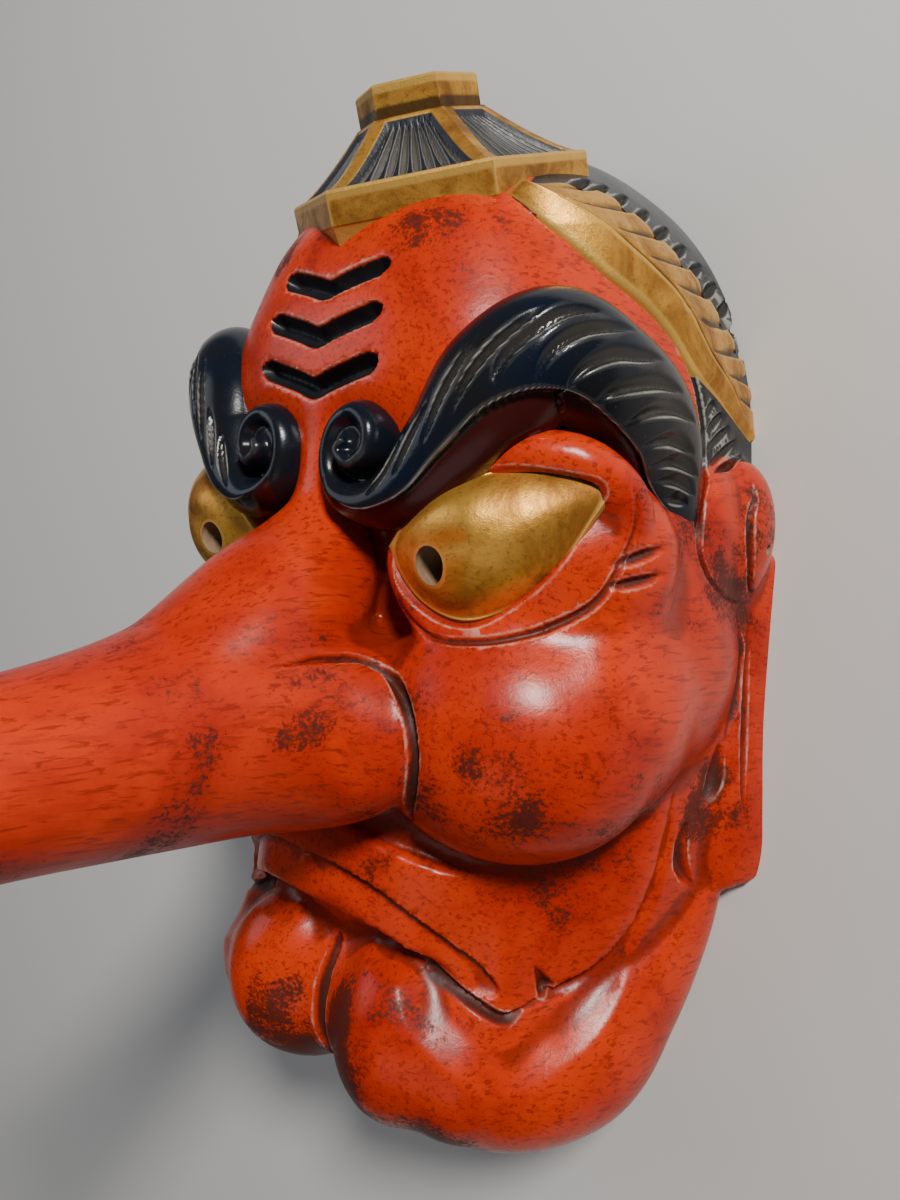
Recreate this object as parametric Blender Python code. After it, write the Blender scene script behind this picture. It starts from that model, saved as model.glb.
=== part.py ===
"""Carved wooden tengu mask, lying on its back rim with the face and the long nose up.

X is across the face, Y runs from the chin up to the crown, and Z is how far the carving
stands off the flat back of the mask. The eye holes are the carver's reference: each form
is placed from the point midway between them, in shares of the height of the mask.
"""

import math

import bmesh
import bpy
import numpy as np
from mathutils import Matrix, Vector
from mathutils.bvhtree import BVHTree

# Driving sizes, in metres
HEIGHT = 0.314           # crown to chin
DEPTH = 0.100            # flat back to the eye holes
NOSE_REACH = 0.196       # eye holes to the tip of the nose
WALL = 0.0095            # thickness of the carved wall
EYE_HOLE = 0.0095        # bore to look through
CORD_HOLE = 0.0030       # bore for the cord, through the ear
CORD_HOLE_INSET = 0.0130 # cord hole in front of the flat back

# The form is laid out on a mask 314 units high, so a unit is about a millimetre
UNIT = HEIGHT / 314
EYE_LINE = 15.4 * UNIT   # the eyes are above the middle of the height
BACK = -DEPTH / UNIT     # the flat back, behind the eye holes
EYE_HOLE_AT = 45         # each eye hole is this far from the middle

# Fineness of the carving
GRAIN = 2.4 * UNIT       # size of the facets before they are reduced
FACE_FACETS = 2500       # facets of the face before the brows, eyes and cap are joined on
ROOM_FACETS = 500        # facets of the hollow behind it


def unit_points(rows):
    """Rows of numbers as an array."""
    return np.array(rows, dtype=float)


def smooth_path(rows, count):
    """Points spread evenly along a smooth curve through the rows."""
    rows = unit_points(rows)
    steps = np.linalg.norm(np.diff(rows[:, :3], axis=0), axis=1)
    knots = np.concatenate([[0.0], np.cumsum(steps)])
    slopes = np.gradient(rows, knots, axis=0)
    out = []
    for s in np.linspace(0.0, knots[-1], count):
        i = min(max(np.searchsorted(knots, s) - 1, 0), len(knots) - 2)
        h = knots[i + 1] - knots[i]
        t = (s - knots[i]) / h
        a = (1 + 2 * t) * (1 - t) ** 2
        b = t * (1 - t) ** 2 * h
        c = t * t * (3 - 2 * t)
        d = t * t * (t - 1) * h
        out.append(a * rows[i] + b * slopes[i] + c * rows[i + 1] + d * slopes[i + 1])
    return np.array(out)


def mesh_of(name, verts, faces):
    """A mesh object from points in units and faces."""
    mesh = bpy.data.meshes.new(name)
    mesh.from_pydata([tuple(v) for v in verts], [], faces)
    mesh.update()
    thing = bpy.data.objects.new(name, mesh)
    bpy.context.scene.collection.objects.link(thing)
    return thing


def loft(name, rings):
    """A closed skin over rings of equal count, with flat ends."""
    count = len(rings[0])
    verts = [p for ring in rings for p in ring]
    faces = []
    for r in range(len(rings) - 1):
        for i in range(count):
            j = (i + 1) % count
            faces.append((r * count + i, r * count + j, (r + 1) * count + j, (r + 1) * count + i))
    faces.append(tuple(range(count - 1, -1, -1)))
    last = (len(rings) - 1) * count
    faces.append(tuple(range(last, last + count)))
    thing = mesh_of(name, verts, faces)
    shape = bmesh.new()
    shape.from_mesh(thing.data)
    bmesh.ops.recalc_face_normals(shape, faces=shape.faces)
    shape.to_mesh(thing.data)
    shape.free()
    return thing


def mirrored(thing):
    """The same form on the other side of the face."""
    twin = thing.copy()
    twin.data = thing.data.copy()
    twin.name = thing.name + "_far"
    twin.data.transform(Matrix.Scale(-1, 4, Vector((1, 0, 0))))
    twin.data.flip_normals()
    bpy.context.scene.collection.objects.link(twin)
    return twin


def ball(name, centre, radii, turn=0.0, tip=0.0, fine=4):
    """An egg form; turn swings it about the height, tip about the width."""
    shape = bmesh.new()
    bmesh.ops.create_icosphere(shape, subdivisions=fine, radius=1.0)
    place = (Matrix.Translation(Vector(centre)) @ Matrix.Rotation(turn, 4, "Y")
             @ Matrix.Rotation(tip, 4, "X") @ Matrix.Diagonal((*radii, 1)))
    bmesh.ops.transform(shape, matrix=place, verts=shape.verts)
    mesh = bpy.data.meshes.new(name)
    shape.to_mesh(mesh)
    shape.free()
    thing = bpy.data.objects.new(name, mesh)
    bpy.context.scene.collection.objects.link(thing)
    return thing


def roll(name, rows, count=24, sides=20):
    """A rounded roll along a path. A row is x, y, z, half width, half depth and the
    direction that its depth faces, as a turn to the side and a tip upward in degrees."""
    path = smooth_path(rows, count)
    rings = []
    for i, row in enumerate(path):
        centre = row[:3]
        ahead = path[min(i + 1, count - 1), :3] - path[max(i - 1, 0), :3]
        ahead /= np.linalg.norm(ahead)
        side, up = math.radians(row[5]), math.radians(row[6])
        out = np.array([math.sin(side) * math.cos(up), math.sin(up), math.cos(side) * math.cos(up)])
        out -= ahead * (out @ ahead)
        out /= np.linalg.norm(out)
        across = np.cross(ahead, out)
        ring = []
        for k in range(sides):
            a = 2 * math.pi * k / sides
            ring.append(centre + across * row[3] * math.cos(a) + out * row[4] * math.sin(a))
        rings.append(ring)
    return loft(name, rings)


# The head is a dome of level slices: height, half width at the back, front, fullness
SLICES = [
    (141, 5, -92, 2.0),
    (138, 17, -76, 2.1),
    (129, 31, -52, 2.3),
    (117, 45, -26, 2.5),
    (104, 56, -7, 2.8),
    (89, 65, 4, 2.8),
    (76, 70.5, 8, 2.8),
    (60, 75.5, 11.5, 2.9),
    (43, 78, 11.5, 2.9),
    (25, 80, 3, 2.9),
    (10, 82, -5, 2.8),
    (-10, 85, -9, 2.6),
    (-40, 86, -8, 2.2),
    (-70, 86, -4, 1.9),
    (-86, 85, -3, 1.9),
    (-106, 82, -15, 2.1),
    (-125, 78, -30, 2.3),
    (-144, 76, -42, 2.4),
    (-155, 72, -50, 2.5),
    (-164, 63, -58, 2.5),
    (-170, 40, -75, 2.3),
]


def head_slice(y):
    """Half width, front and fullness of the head at a height."""
    rows = unit_points(SLICES)[::-1]
    return [float(np.interp(y, rows[:, 0], rows[:, k])) for k in (1, 2, 3)]


def head(behind=14.0, steps=28):
    rings = []
    for y in np.linspace(SLICES[-1][0], SLICES[0][0], 90):
        # a running mean rounds the corners between the listed slices
        near = np.array([head_slice(y + d) for d in (-5, -2.5, 0, 2.5, 5)])
        if abs(y - SLICES[0][0]) < 6 or abs(y - SLICES[-1][0]) < 6:
            near = near[2:3]
        half, front, full = near.mean(axis=0)
        ring = []
        for k in range(steps + 1):
            a = math.pi * k / steps
            c, s = math.cos(a), math.sin(a)
            ring.append((half * math.copysign(abs(c) ** (2 / full), c), y,
                         BACK + (front - BACK) * abs(s) ** (2 / full)))
        for x in (-half, -half * 0.5, 0.0, half * 0.5, half):
            ring.append((x, y, BACK - behind))
        rings.append(ring)
    return loft("head", rings)


# The nose: distance forward, middle height, half height, half width
NOSE = [
    (-20, -42, 25, 36),
    (-8, -44, 27.5, 43),
    (1, -45.5, 28.2, 46.5),
    (7, -46, 28.8, 46.5),
    (13, -45.8, 29.6, 42.5),
    (20, -45.2, 30.2, 37),
    (30, -45, 30.2, 32.5),
    (45, -46.6, 28.7, 28.2),
    (63, -50, 25, 24.7),
    (85, -53, 21.8, 21.5),
    (110, -56, 19.8, 19.6),
    (140, -59.5, 18.4, 18.2),
    (170, -63, 17.2, 17.0),
    (186, -65, 15.6, 15.4),
    (193, -65.9, 12.4, 12.2),
    (196, -66.3, 6.5, 6.4),
]


def nose():
    reach = NOSE_REACH / UNIT / NOSE[-1][0]
    rings = []
    for z, middle, tall, wide in smooth_path(NOSE, 60):
        far = z * reach if z > 0 else z
        rings.append([(wide * math.cos(a), middle + tall * math.sin(a), far)
                      for a in np.linspace(0, 2 * math.pi, 40, endpoint=False)])
    return loft("nose", rings)


def bridge():
    """The ridge from the forehead down between the eyes onto the nose."""
    return roll("bridge", [
        (0, 62, -14, 18, 20, 0, 0), (0, 42, -13, 17, 24, 0, 0), (0, 24, -9, 14, 20, 0, 0),
        (0, 10, -5, 14, 16, 0, 15), (0, -4, 3, 19, 19, 0, 40), (0, -16, 13, 24, 23, 0, 50),
        (0, -26, 25, 27, 22, 0, 60), (0, -36, 40, 24, 20, 0, 70)], count=34)


def cheek_side():
    return [
        ball("cheek", (53, -41, -25), (40, 35.5, 33), turn=0.5),
        ball("cheek_back", (66, -33, -46), (26, 34, 40), turn=0.25),
        ball("cheek_end", (72, -22, -66), (19, 36, 34)),
        ball("eye_mound", (54, 4, -27), (36, 30, 24), turn=0.35),
        ball("temple", (66, 2, -58), (19, 30, 32)),
    ]


def eye_side():
    """The bulging eye in its raised lid."""
    return [
        roll("lid", [
            (27, 0, 1, 3.5, 5, 10, 0), (36, 12, 0, 5, 6.5, 15, 0), (47, 22, -3, 6, 7.5, 20, 10),
            (60, 27, -6, 6.5, 8, 30, 10), (72, 25, -14, 6.5, 8, 45, 10), (78, 16, -23, 6.5, 7, 55, 0),
            (75, 4, -23, 6, 6.5, 50, 0), (66, -7, -15, 5.5, 7, 35, -10), (54, -13, -6, 5, 7.5, 25, -10),
            (40, -12, -1, 4.5, 7, 15, -10), (31, -6, 0, 4, 6, 10, 0), (27, 0, 1, 3.5, 5, 10, 0)],
            count=22, sides=7),
        ball("eye", (52, 7, -12), (27, 18, 16), turn=0.32, tip=-0.1, fine=3),
    ]


# The muzzle stands proud of the chin and the jaw: its upper edge under the cheek, and its lip
MUZZLE = [
    ((-4, -70, -2), (-4, -101, -5.5)), ((14, -74, -3), (16, -101, -6)), ((26, -78, -6), (25, -103, -9)),
    ((36, -80, -10), (33, -107, -14)), ((44, -82, -16), (40, -113.5, -21.5)), ((50, -83, -23), (47, -118.5, -26.5)),
    ((56, -83, -30), (55, -122.5, -31)), ((61, -82, -37), (58.5, -119, -38)), ((66, -80, -42), (63.5, -115, -45.5)),
    ((70, -76, -48), (69, -110, -52)), ((74, -71, -53), (73.5, -103, -57)), ((77.5, -65, -58), (77, -93, -61)),
    ((80, -58, -62), (79, -81, -64)), ((81, -52, -66), (80, -66, -66))]
MUZZLE_DEEP = 26


def muzzle():
    rings = []
    for row in smooth_path([top + low for top, low in MUZZLE], 30):
        top, low = row[:3], row[3:]
        out = (top + low) / 2 - (0, -85, -80)
        out /= np.linalg.norm(out)
        front = [top + (low - top) * t + out * (0.8 + 2.4 * t * (1 - t)) for t in np.linspace(0, 1, 7)]
        rings.append(front + [point - out * MUZZLE_DEEP for point in front[::-1]])
    return loft("muzzle", rings)


def mouth_side():
    return [
        ball("chin", (22, -137, -37), (26, 32, 33), turn=0.3),
        ball("chin_jaw", (36, -139, -44), (28, 31, 32), turn=0.4),
        roll("jaw", [
            (24, -139, -46, 29, 27, 20, 0), (41, -142, -50, 30, 30, 35, 0), (57, -138, -63, 28, 26, 50, 0),
            (69, -122, -76, 21, 17, 68, 0), (77, -102, -88, 13, 11, 80, 0), (80, -84, -95, 8, 8, 85, 0)],
            count=26),
        muzzle(),
    ]


def ear_side():
    return [
        ball("ear_top", (79, 17, -89), (12.5, 23, 17), turn=0.25),
        roll("ear_lobe", [
            (80, 12, -98, 16, 8, 60, 0), (81, -10, -98, 16, 8, 60, 0), (83, -40, -98, 16, 8, 62, 0),
            (85, -66, -98, 17, 9, 62, 0), (87, -80, -100, 16, 9, 62, 0), (88, -87, -102, 14, 8, 62, 0)],
            count=20, sides=16),
    ]


BROW = [
    (24, 16, 3, 6, 9, 5, 0), (31, 15, 1, 9, 13, 10, -5), (43, 30, 0, 13, 14, 15, 0),
    (54, 46, -3, 17, 14, 28, 10), (64, 54, -9, 18, 14, 42, 15), (72, 51, -20, 17, 13, 58, 15),
    (75, 44, -33, 16, 10, 70, 10), (76, 36, -44, 14, 8, 75, 0), (77, 26, -52, 10, 6, 78, 0),
    (79, 17, -58, 3, 3, 80, 0)]


def brow_side():
    return [roll("brow", BROW, count=19, sides=9), ball("curl", (17, 26, 6), (9.5, 10, 12), fine=2)]


# The small pleated cap, a hexagon tied on above the forehead and tipped forward
CAP_SEAT = (0, 104.8, -31.6)
CAP_TIP = 24.5           # degrees
CAP_ACROSS = 45          # centre to corner
CAP_BAND = 9             # height of the gold band
CAP_RISE = 25.2          # band foot to knob foot
KNOB_ACROSS = 18
KNOB_RISE = 8.5
KNOB_AHEAD = 2
RIDGE = 4                # half width of the gold ridges
PLEATS = 5


def cap_point(turn, across, rise, ahead=0.0):
    """A point on the cap: turn from the front corner, distance from its middle, height."""
    a, t = math.radians(turn), math.radians(CAP_TIP)
    x, forward = across * math.sin(a), across * math.cos(a) + ahead
    return np.array([CAP_SEAT[0] + x,
                     CAP_SEAT[1] + rise * math.cos(t) - forward * math.sin(t),
                     CAP_SEAT[2] + rise * math.sin(t) + forward * math.cos(t)])


def roof(share):
    """Distance from the middle, height and shift of the cap's roof, from band to knob."""
    across = CAP_ACROSS - 2 + (KNOB_ACROSS + 1 - CAP_ACROSS + 2) * share
    rise = CAP_BAND + (CAP_RISE - CAP_BAND) * (share ** 1.25)
    return across, rise, KNOB_AHEAD * share


def cap():
    stations = [(CAP_ACROSS - 3, -14, 0), (CAP_ACROSS, 0, 0), (CAP_ACROSS, CAP_BAND, 0)]
    stations += [roof(share) for share in (0.0, 0.34, 0.67, 1.0)]
    stations += [(KNOB_ACROSS, CAP_RISE, KNOB_AHEAD), (KNOB_ACROSS, CAP_RISE + KNOB_RISE, KNOB_AHEAD),
                 (KNOB_ACROSS - 3, CAP_RISE + KNOB_RISE, KNOB_AHEAD),
                 (KNOB_ACROSS - 5, CAP_RISE + KNOB_RISE - 1.5, KNOB_AHEAD)]
    rings = [[cap_point(60 * k, across, rise, ahead) for k in range(6)] for across, rise, ahead in stations]
    return loft("cap", rings)


def head_side(y, z):
    """The point on the side of the head at a height and a depth."""
    half, front, full = head_slice(y)
    share = min(max((z - BACK) / (front - BACK), 0.0), 1.0)
    return np.array([half * (1 - share ** full) ** (1 / full), y, z])


# The gold feather band runs from the cap down to the ear: height, depth, half width, thickness
FEATHER = [(98, -18, 3, 3), (98, -36, 7, 5), (92, -50, 9, 5.5), (79, -61, 9.5, 5.5),
           (66, -71, 8.5, 5), (55, -83, 6, 4.5), (46, -97, 3, 3)]
LEAVES = 6
LOCKS = 6
SIDE_LOCKS = 3


def feather_side():
    rows = [(head_side(y, z)[0] - 1, y, z, wide, deep, 62, 28) for y, z, wide, deep in FEATHER]
    return roll("feather", rows, count=11, sides=7)


def feather_leaves():
    """Cuts from the middle of the feather to its back edge."""
    path = smooth_path(FEATHER, LEAVES + 3)
    leaves = []
    for y, z, wide, deep in path[1:-2]:
        leaves.append([head_side(y + drop, z - back) + (3, 0, 0) for drop, back in ((-1, 2), (0, 7), (2, 13))])
    return leaves


def hair_locks():
    """Cuts in the black hair behind the feather, and in front of the ear."""
    locks = []
    for y, z, wide, deep in smooth_path(FEATHER, LOCKS + 2)[1:-1]:
        start = z - wide - 5
        if start > BACK + 8:
            locks.append([head_side(y + 8 + 5 * t, start + (BACK - 1 - start) * t) for t in (0.0, 0.5, 1.0)])
    for k in range(SIDE_LOCKS):
        y = 28 + 9 * k
        locks.append([head_side(y + 6 * t, -65 - (18 - 3 * k) * t) for t in (0.0, 0.5, 1.0)])
    return locks


def groove(name, rows, width, depth, lift=2.5, count=5):
    """A gouge: a wedge that is wide in the middle and pointed at both ends."""
    path = smooth_path([row[:6] for row in rows], count)
    rings = []
    for i, row in enumerate(path):
        share = math.sin(math.pi * (i + 0.15) / (count - 0.7)) ** 0.7
        out = row[3:6] / np.linalg.norm(row[3:6])
        ahead = path[min(i + 1, count - 1), :3] - path[max(i - 1, 0), :3]
        across = np.cross(ahead, out)
        across /= np.linalg.norm(across)
        spread = (1 + lift / depth) * width / 2 * share
        top = row[:3] + out * lift
        rings.append([top + across * spread, top - across * spread, row[:3] - out * depth * share])
    return loft(name, rings)


def on_skin(tree, points):
    """Points moved onto the carved skin, each with the direction that the skin faces."""
    rows = []
    for point in points:
        spot, facing, index, gap = tree.find_nearest(Vector(point))
        rows.append((*spot, *facing))
    return rows


def united(name, forms, grain):
    """One closed body from overlapping forms."""
    shape = bmesh.new()
    for form in forms:
        shape.from_mesh(form.data)
        bpy.data.objects.remove(form, do_unlink=True)
    mesh = bpy.data.meshes.new(name)
    shape.to_mesh(mesh)
    shape.free()
    body = bpy.data.objects.new(name, mesh)
    bpy.context.scene.collection.objects.link(body)
    remesh = body.modifiers.new("one body", "REMESH")
    remesh.mode = "VOXEL"
    remesh.voxel_size = grain
    settle(body)
    return body


def settle(body):
    """Keep what the modifiers make."""
    graph = bpy.context.evaluated_depsgraph_get()
    mesh = bpy.data.meshes.new_from_object(body.evaluated_get(graph))
    body.modifiers.clear()
    body.data = mesh


def smoothed(body, weight, rounds):
    """Blend neighbouring forms into each other where the weight is high."""
    mesh = body.data
    spots = np.empty(len(mesh.vertices) * 3)
    mesh.vertices.foreach_get("co", spots)
    spots = spots.reshape(-1, 3)
    pairs = np.empty(len(mesh.edges) * 2, dtype=np.int64)
    mesh.edges.foreach_get("vertices", pairs)
    a, b = pairs.reshape(-1, 2).T
    near = np.bincount(a, minlength=len(spots)) + np.bincount(b, minlength=len(spots))
    pull = weight(spots)[:, None]
    for turn in range(rounds):
        total = np.zeros_like(spots)
        np.add.at(total, a, spots[b])
        np.add.at(total, b, spots[a])
        spots += pull * (total / near[:, None] - spots)
    mesh.vertices.foreach_set("co", spots.ravel())
    mesh.update()


def blob(spots, centre, radii):
    """Weight that is 1 at a place and fades to 0 at its radii."""
    d = (((spots - centre) / radii) ** 2).sum(axis=1)
    return np.clip(1.4 - 1.4 * d, 0, 1)


def face_blend(spots):
    both = spots.copy()
    both[:, 0] = np.abs(both[:, 0])
    weight = np.full(len(spots), 0.08)
    weight += 0.75 * blob(both, (8, -16, 24), (36, 26, 34))
    weight += 0.6 * blob(both, (0, 40, 5), (26, 40, 20))
    weight += 0.6 * blob(both, (60, -16, -22), (40, 20, 40))
    weight += 0.8 * blob(both, (80, -24, -62), (22, 44, 36))
    weight += 0.75 * blob(both, (44, -140, -48), (38, 34, 50))
    weight += 0.5 * blob(both, (14, -140, -8), (12, 26, 22))
    return np.clip(weight, 0, 0.85)


def both_sides(forms):
    return forms + [mirrored(form) for form in forms]


def boolean(body, tool, operation):
    """Join or cut the body with another form, which is used up."""
    change = body.modifiers.new(tool.name, "BOOLEAN")
    change.operation = operation
    change.solver = "MANIFOLD"
    change.object = tool
    settle(body)
    bpy.data.objects.remove(tool, do_unlink=True)


def reduced(body, faces):
    """Fewer facets with the same form."""
    now = sum(len(p.vertices) - 2 for p in body.data.polygons)
    if now > faces:
        fewer = body.modifiers.new("fewer facets", "DECIMATE")
        fewer.ratio = faces / now
        settle(body)


def one_piece(body):
    """The wood itself: pockets shut in between two forms are solid, and loose chips are gone."""
    shape = bmesh.new()
    shape.from_mesh(body.data)
    left, largest = set(shape.verts), []
    while left:
        seed = left.pop()
        group, edge_of_group = [seed], [seed]
        while edge_of_group:
            for edge in edge_of_group.pop().link_edges:
                for vert in edge.verts:
                    if vert in left:
                        left.discard(vert)
                        group.append(vert)
                        edge_of_group.append(vert)
        if len(group) > len(largest):
            largest = group
    kept = set(largest)
    bmesh.ops.delete(shape, geom=[vert for vert in shape.verts if vert not in kept], context="VERTS")
    shape.to_mesh(body.data)
    shape.free()


def hollow():
    """The room behind the face, a wall's thickness inside the outer form."""
    wall = WALL / UNIT
    rings = []
    for y in np.linspace(SLICES[-1][0] + wall, SLICES[0][0] - wall, 40):
        half, front, full = head_slice(y)
        inset = half - wall
        depth = max(front - wall - BACK, 8)
        inset = max(inset, 6)
        ring = []
        for k in range(17):
            a = math.pi * k / 16
            c, n = math.cos(a), math.sin(a)
            ring.append((inset * math.copysign(abs(c) ** (2 / full), c), y, BACK + depth * abs(n) ** (2 / full)))
        ring += [(-inset, y, BACK - 20), (inset, y, BACK - 20)]
        rings.append(ring)
    room = loft("room", rings)
    pits = both_sides([
        ball("eye_room", (52, 5, -24), (26 - wall / 2, 24 - wall / 2, 26 - wall), turn=0.3),
        ball("cheek_room", (53, -38, -28), (40 - wall, 37 - wall, 33 - wall), turn=0.5),
    ])
    body = united("hollow", [room] + pits, 4.0)
    smoothed(body, lambda spots: np.full(len(spots), 0.5), 6)
    reduced(body, ROOM_FACETS)
    return body


def bore(name, place, width, length, turn):
    """A round bore."""
    shape = bmesh.new()
    bmesh.ops.create_cone(shape, cap_ends=True, segments=16, radius1=width / 2, radius2=width / 2, depth=length,
                          matrix=Matrix.Translation(Vector(place)) @ Matrix.Rotation(turn, 4, "Y"))
    mesh = bpy.data.meshes.new(name)
    shape.to_mesh(mesh)
    shape.free()
    thing = bpy.data.objects.new(name, mesh)
    bpy.context.scene.collection.objects.link(thing)
    return thing


def slab(name, low, high):
    shape = bmesh.new()
    bmesh.ops.create_cube(shape, size=1.0)
    low, high = Vector(low), Vector(high)
    bmesh.ops.transform(shape, verts=shape.verts,
                        matrix=Matrix.Translation((low + high) / 2) @ Matrix.Diagonal((*(high - low), 1)))
    mesh = bpy.data.meshes.new(name)
    shape.to_mesh(mesh)
    shape.free()
    thing = bpy.data.objects.new(name, mesh)
    bpy.context.scene.collection.objects.link(thing)
    return thing


def brow_point(along, across):
    """A point on the brow: share of its length, and place from its lower to its upper edge."""
    path = smooth_path(BROW, 101)
    i = int(round(along * 100))
    row = path[i]
    ahead = path[min(i + 1, 100), :3] - path[max(i - 1, 0), :3]
    ahead /= np.linalg.norm(ahead)
    side, up = math.radians(row[5]), math.radians(row[6])
    out = np.array([math.sin(side) * math.cos(up), math.sin(up), math.cos(side) * math.cos(up)])
    out -= ahead * (out @ ahead)
    out /= np.linalg.norm(out)
    over = np.cross(out, ahead)
    return row[:3] + over * row[3] * across + out * row[4] * math.sqrt(max(1 - across ** 2, 0.0))


STRANDS = 4
CRESCENTS = 7


def brow_strands():
    """Rows of points for the strands of the brow: long ones by the curl, crescents further out."""
    strands = []
    for k in range(STRANDS):
        start, end = 0.16 + 0.045 * k, 0.40 + 0.05 * k
        strands.append([brow_point(start + (end - start) * t, -0.35 + 0.22 * k * t + 1.15 * t ** 1.2 - 0.15 * k)
                        for t in (0.0, 0.33, 0.67, 1.0)])
    for k in range(CRESCENTS):
        start = 0.37 + 0.5 * k / CRESCENTS
        reach = 0.16 - 0.08 * k / CRESCENTS
        strands.append([brow_point(start + reach * t, -0.5 + 1.4 * t) for t in (0.0, 0.33, 0.67, 1.0)])
    return strands


# Three chevrons chipped into the forehead: height of the point, height of the ends, half width
CHEVRONS = [(43, 50, 24), (57, 64, 23), (71, 77.5, 22)]

# Lines cut on one side of the face and repeated on the other
NOSE_WING = [(25, -28, 34), (27, -26, 20), (30, -26, 12), (38, -29, 8), (46, -38, 9), (48, -47, 8), (44, -60, 3),
             (34, -71, -7)]
MOUTH = [(0, -101, -6), (16, -101, -7), (27, -104, -11), (37, -111, -20), (47, -119, -28), (55, -122.5, -32.5)]
JOWL = [(55, -122.5, -32.5), (62, -116, -45), (70, -108, -54.5), (76, -93, -62), (79, -72, -65.5), (80, -56, -66)]
CHIN_CLEFT = [(0, -111, -16), (0, -125, -12), (0, -142, -10), (0, -158, -18)]
CROW_FEET = [[(83, 6, -20), (88, 11, -30)], [(82, 0, -19), (88, 4, -30)]]
EAR_FOLD = [(83, 32, -78), (87, 21, -77), (88, 10, -79), (84, -4, -84), (82, -34, -84), (80, -66, -84)]


def cuts(skin):
    shape = bmesh.new()
    shape.from_mesh(skin.data)
    tree = BVHTree.FromBMesh(shape)
    shape.free()
    middle = []
    for low, high, wide in CHEVRONS:
        points = [(x * wide, low + (high - low) * abs(x), 14) for x in (-1, -0.5, 0, 0.5, 1)]
        middle.append(groove("chevron", on_skin(tree, points), 6.5, 4.0, count=5))
    side = []
    for strand in brow_strands():
        side.append(groove("strand", on_skin(tree, strand), 3.8, 2.6, count=4))
    side.append(groove("wing", on_skin(tree, NOSE_WING), 3.5, 2.2, count=9))
    side.append(groove("mouth", on_skin(tree, MOUTH), 4.0, 3.0, count=7))
    side.append(groove("jowl", on_skin(tree, JOWL), 6.0, 3.0, count=7))
    side.append(groove("ear_fold", on_skin(tree, EAR_FOLD), 4.0, 2.0, count=7))
    middle.append(groove("cleft", on_skin(tree, CHIN_CLEFT), 5.0, 3.0, count=6))
    for foot in CROW_FEET:
        side.append(groove("crow_foot", on_skin(tree, foot), 3.0, 1.6, count=3))
    for leaf in feather_leaves():
        side.append(groove("leaf", on_skin(tree, leaf), 3.0, 1.8, count=4))
    for lock in hair_locks():
        side.append(groove("lock", on_skin(tree, lock), 3.6, 2.0, count=4))
    for panel in range(6):
        for k in range(PLEATS):
            share = (k + 0.5) / PLEATS
            points = []
            for up in (0.08, 0.5, 0.92):
                across, rise, ahead = roof(up)
                a = cap_point(60 * panel, across, rise, ahead)
                b = cap_point(60 * panel + 60, across, rise, ahead)
                edge = RIDGE / np.linalg.norm(b - a)
                points.append(a + (b - a) * (edge + (1 - 2 * edge) * share))
            if points[0][2] > -60:
                middle.append(groove("pleat", on_skin(tree, points), 3.2, 1.8, count=3))
    return middle + both_sides(side)


for old in list(bpy.data.objects):
    bpy.data.objects.remove(old, do_unlink=True)

face_forms = [head(), nose(), bridge(), ball("chin_middle", (0, -136, -44), (18, 30, 30))]
face_forms += both_sides(cheek_side() + mouth_side() + ear_side())
mask = united("mask", face_forms, GRAIN / UNIT)
smoothed(mask, face_blend, 12)
reduced(mask, FACE_FACETS)
for form in both_sides(eye_side()) + both_sides(brow_side()) + both_sides([feather_side()]) + [cap()]:
    boolean(mask, form, "UNION")
one_piece(mask)
for cut in cuts(mask):
    boolean(mask, cut, "DIFFERENCE")
boolean(mask, hollow(), "DIFFERENCE")
one_piece(mask)
holes = both_sides([
    bore("eye_hole", (EYE_HOLE_AT, 0, -10), EYE_HOLE / UNIT, 60, 0.0),
    bore("cord_hole", (84, 14, BACK + CORD_HOLE_INSET / UNIT), CORD_HOLE / UNIT, 60, math.radians(90)),
])
for hole in holes:
    boolean(mask, hole, "DIFFERENCE")
boolean(mask, slab("behind", (-150, -220, BACK - 60), (150, 220, BACK)), "DIFFERENCE")
one_piece(mask)
mask.data.transform(Matrix.Translation((0, EYE_LINE, DEPTH)) @ Matrix.Scale(UNIT, 4))

# Lacquered wood; the finer colours of the mask belong to the finished surface
lacquer = bpy.data.materials.new("red lacquered wood")
lacquer.use_nodes = True
shader = lacquer.node_tree.nodes["Principled BSDF"]
shader.inputs["Base Color"].default_value = (0.52, 0.035, 0.008, 1.0)
shader.inputs["Roughness"].default_value = 0.38
shader.inputs["Metallic"].default_value = 0.0
mask.data.materials.clear()
mask.data.materials.append(lacquer)
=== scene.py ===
"""A carved and lacquered wooden tengu mask, lying on its back rim with the long nose up."""

import math

import bmesh
import bpy
import numpy as np
from mathutils import Matrix, Vector
from mathutils.bvhtree import BVHTree
from mathutils.kdtree import KDTree


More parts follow.
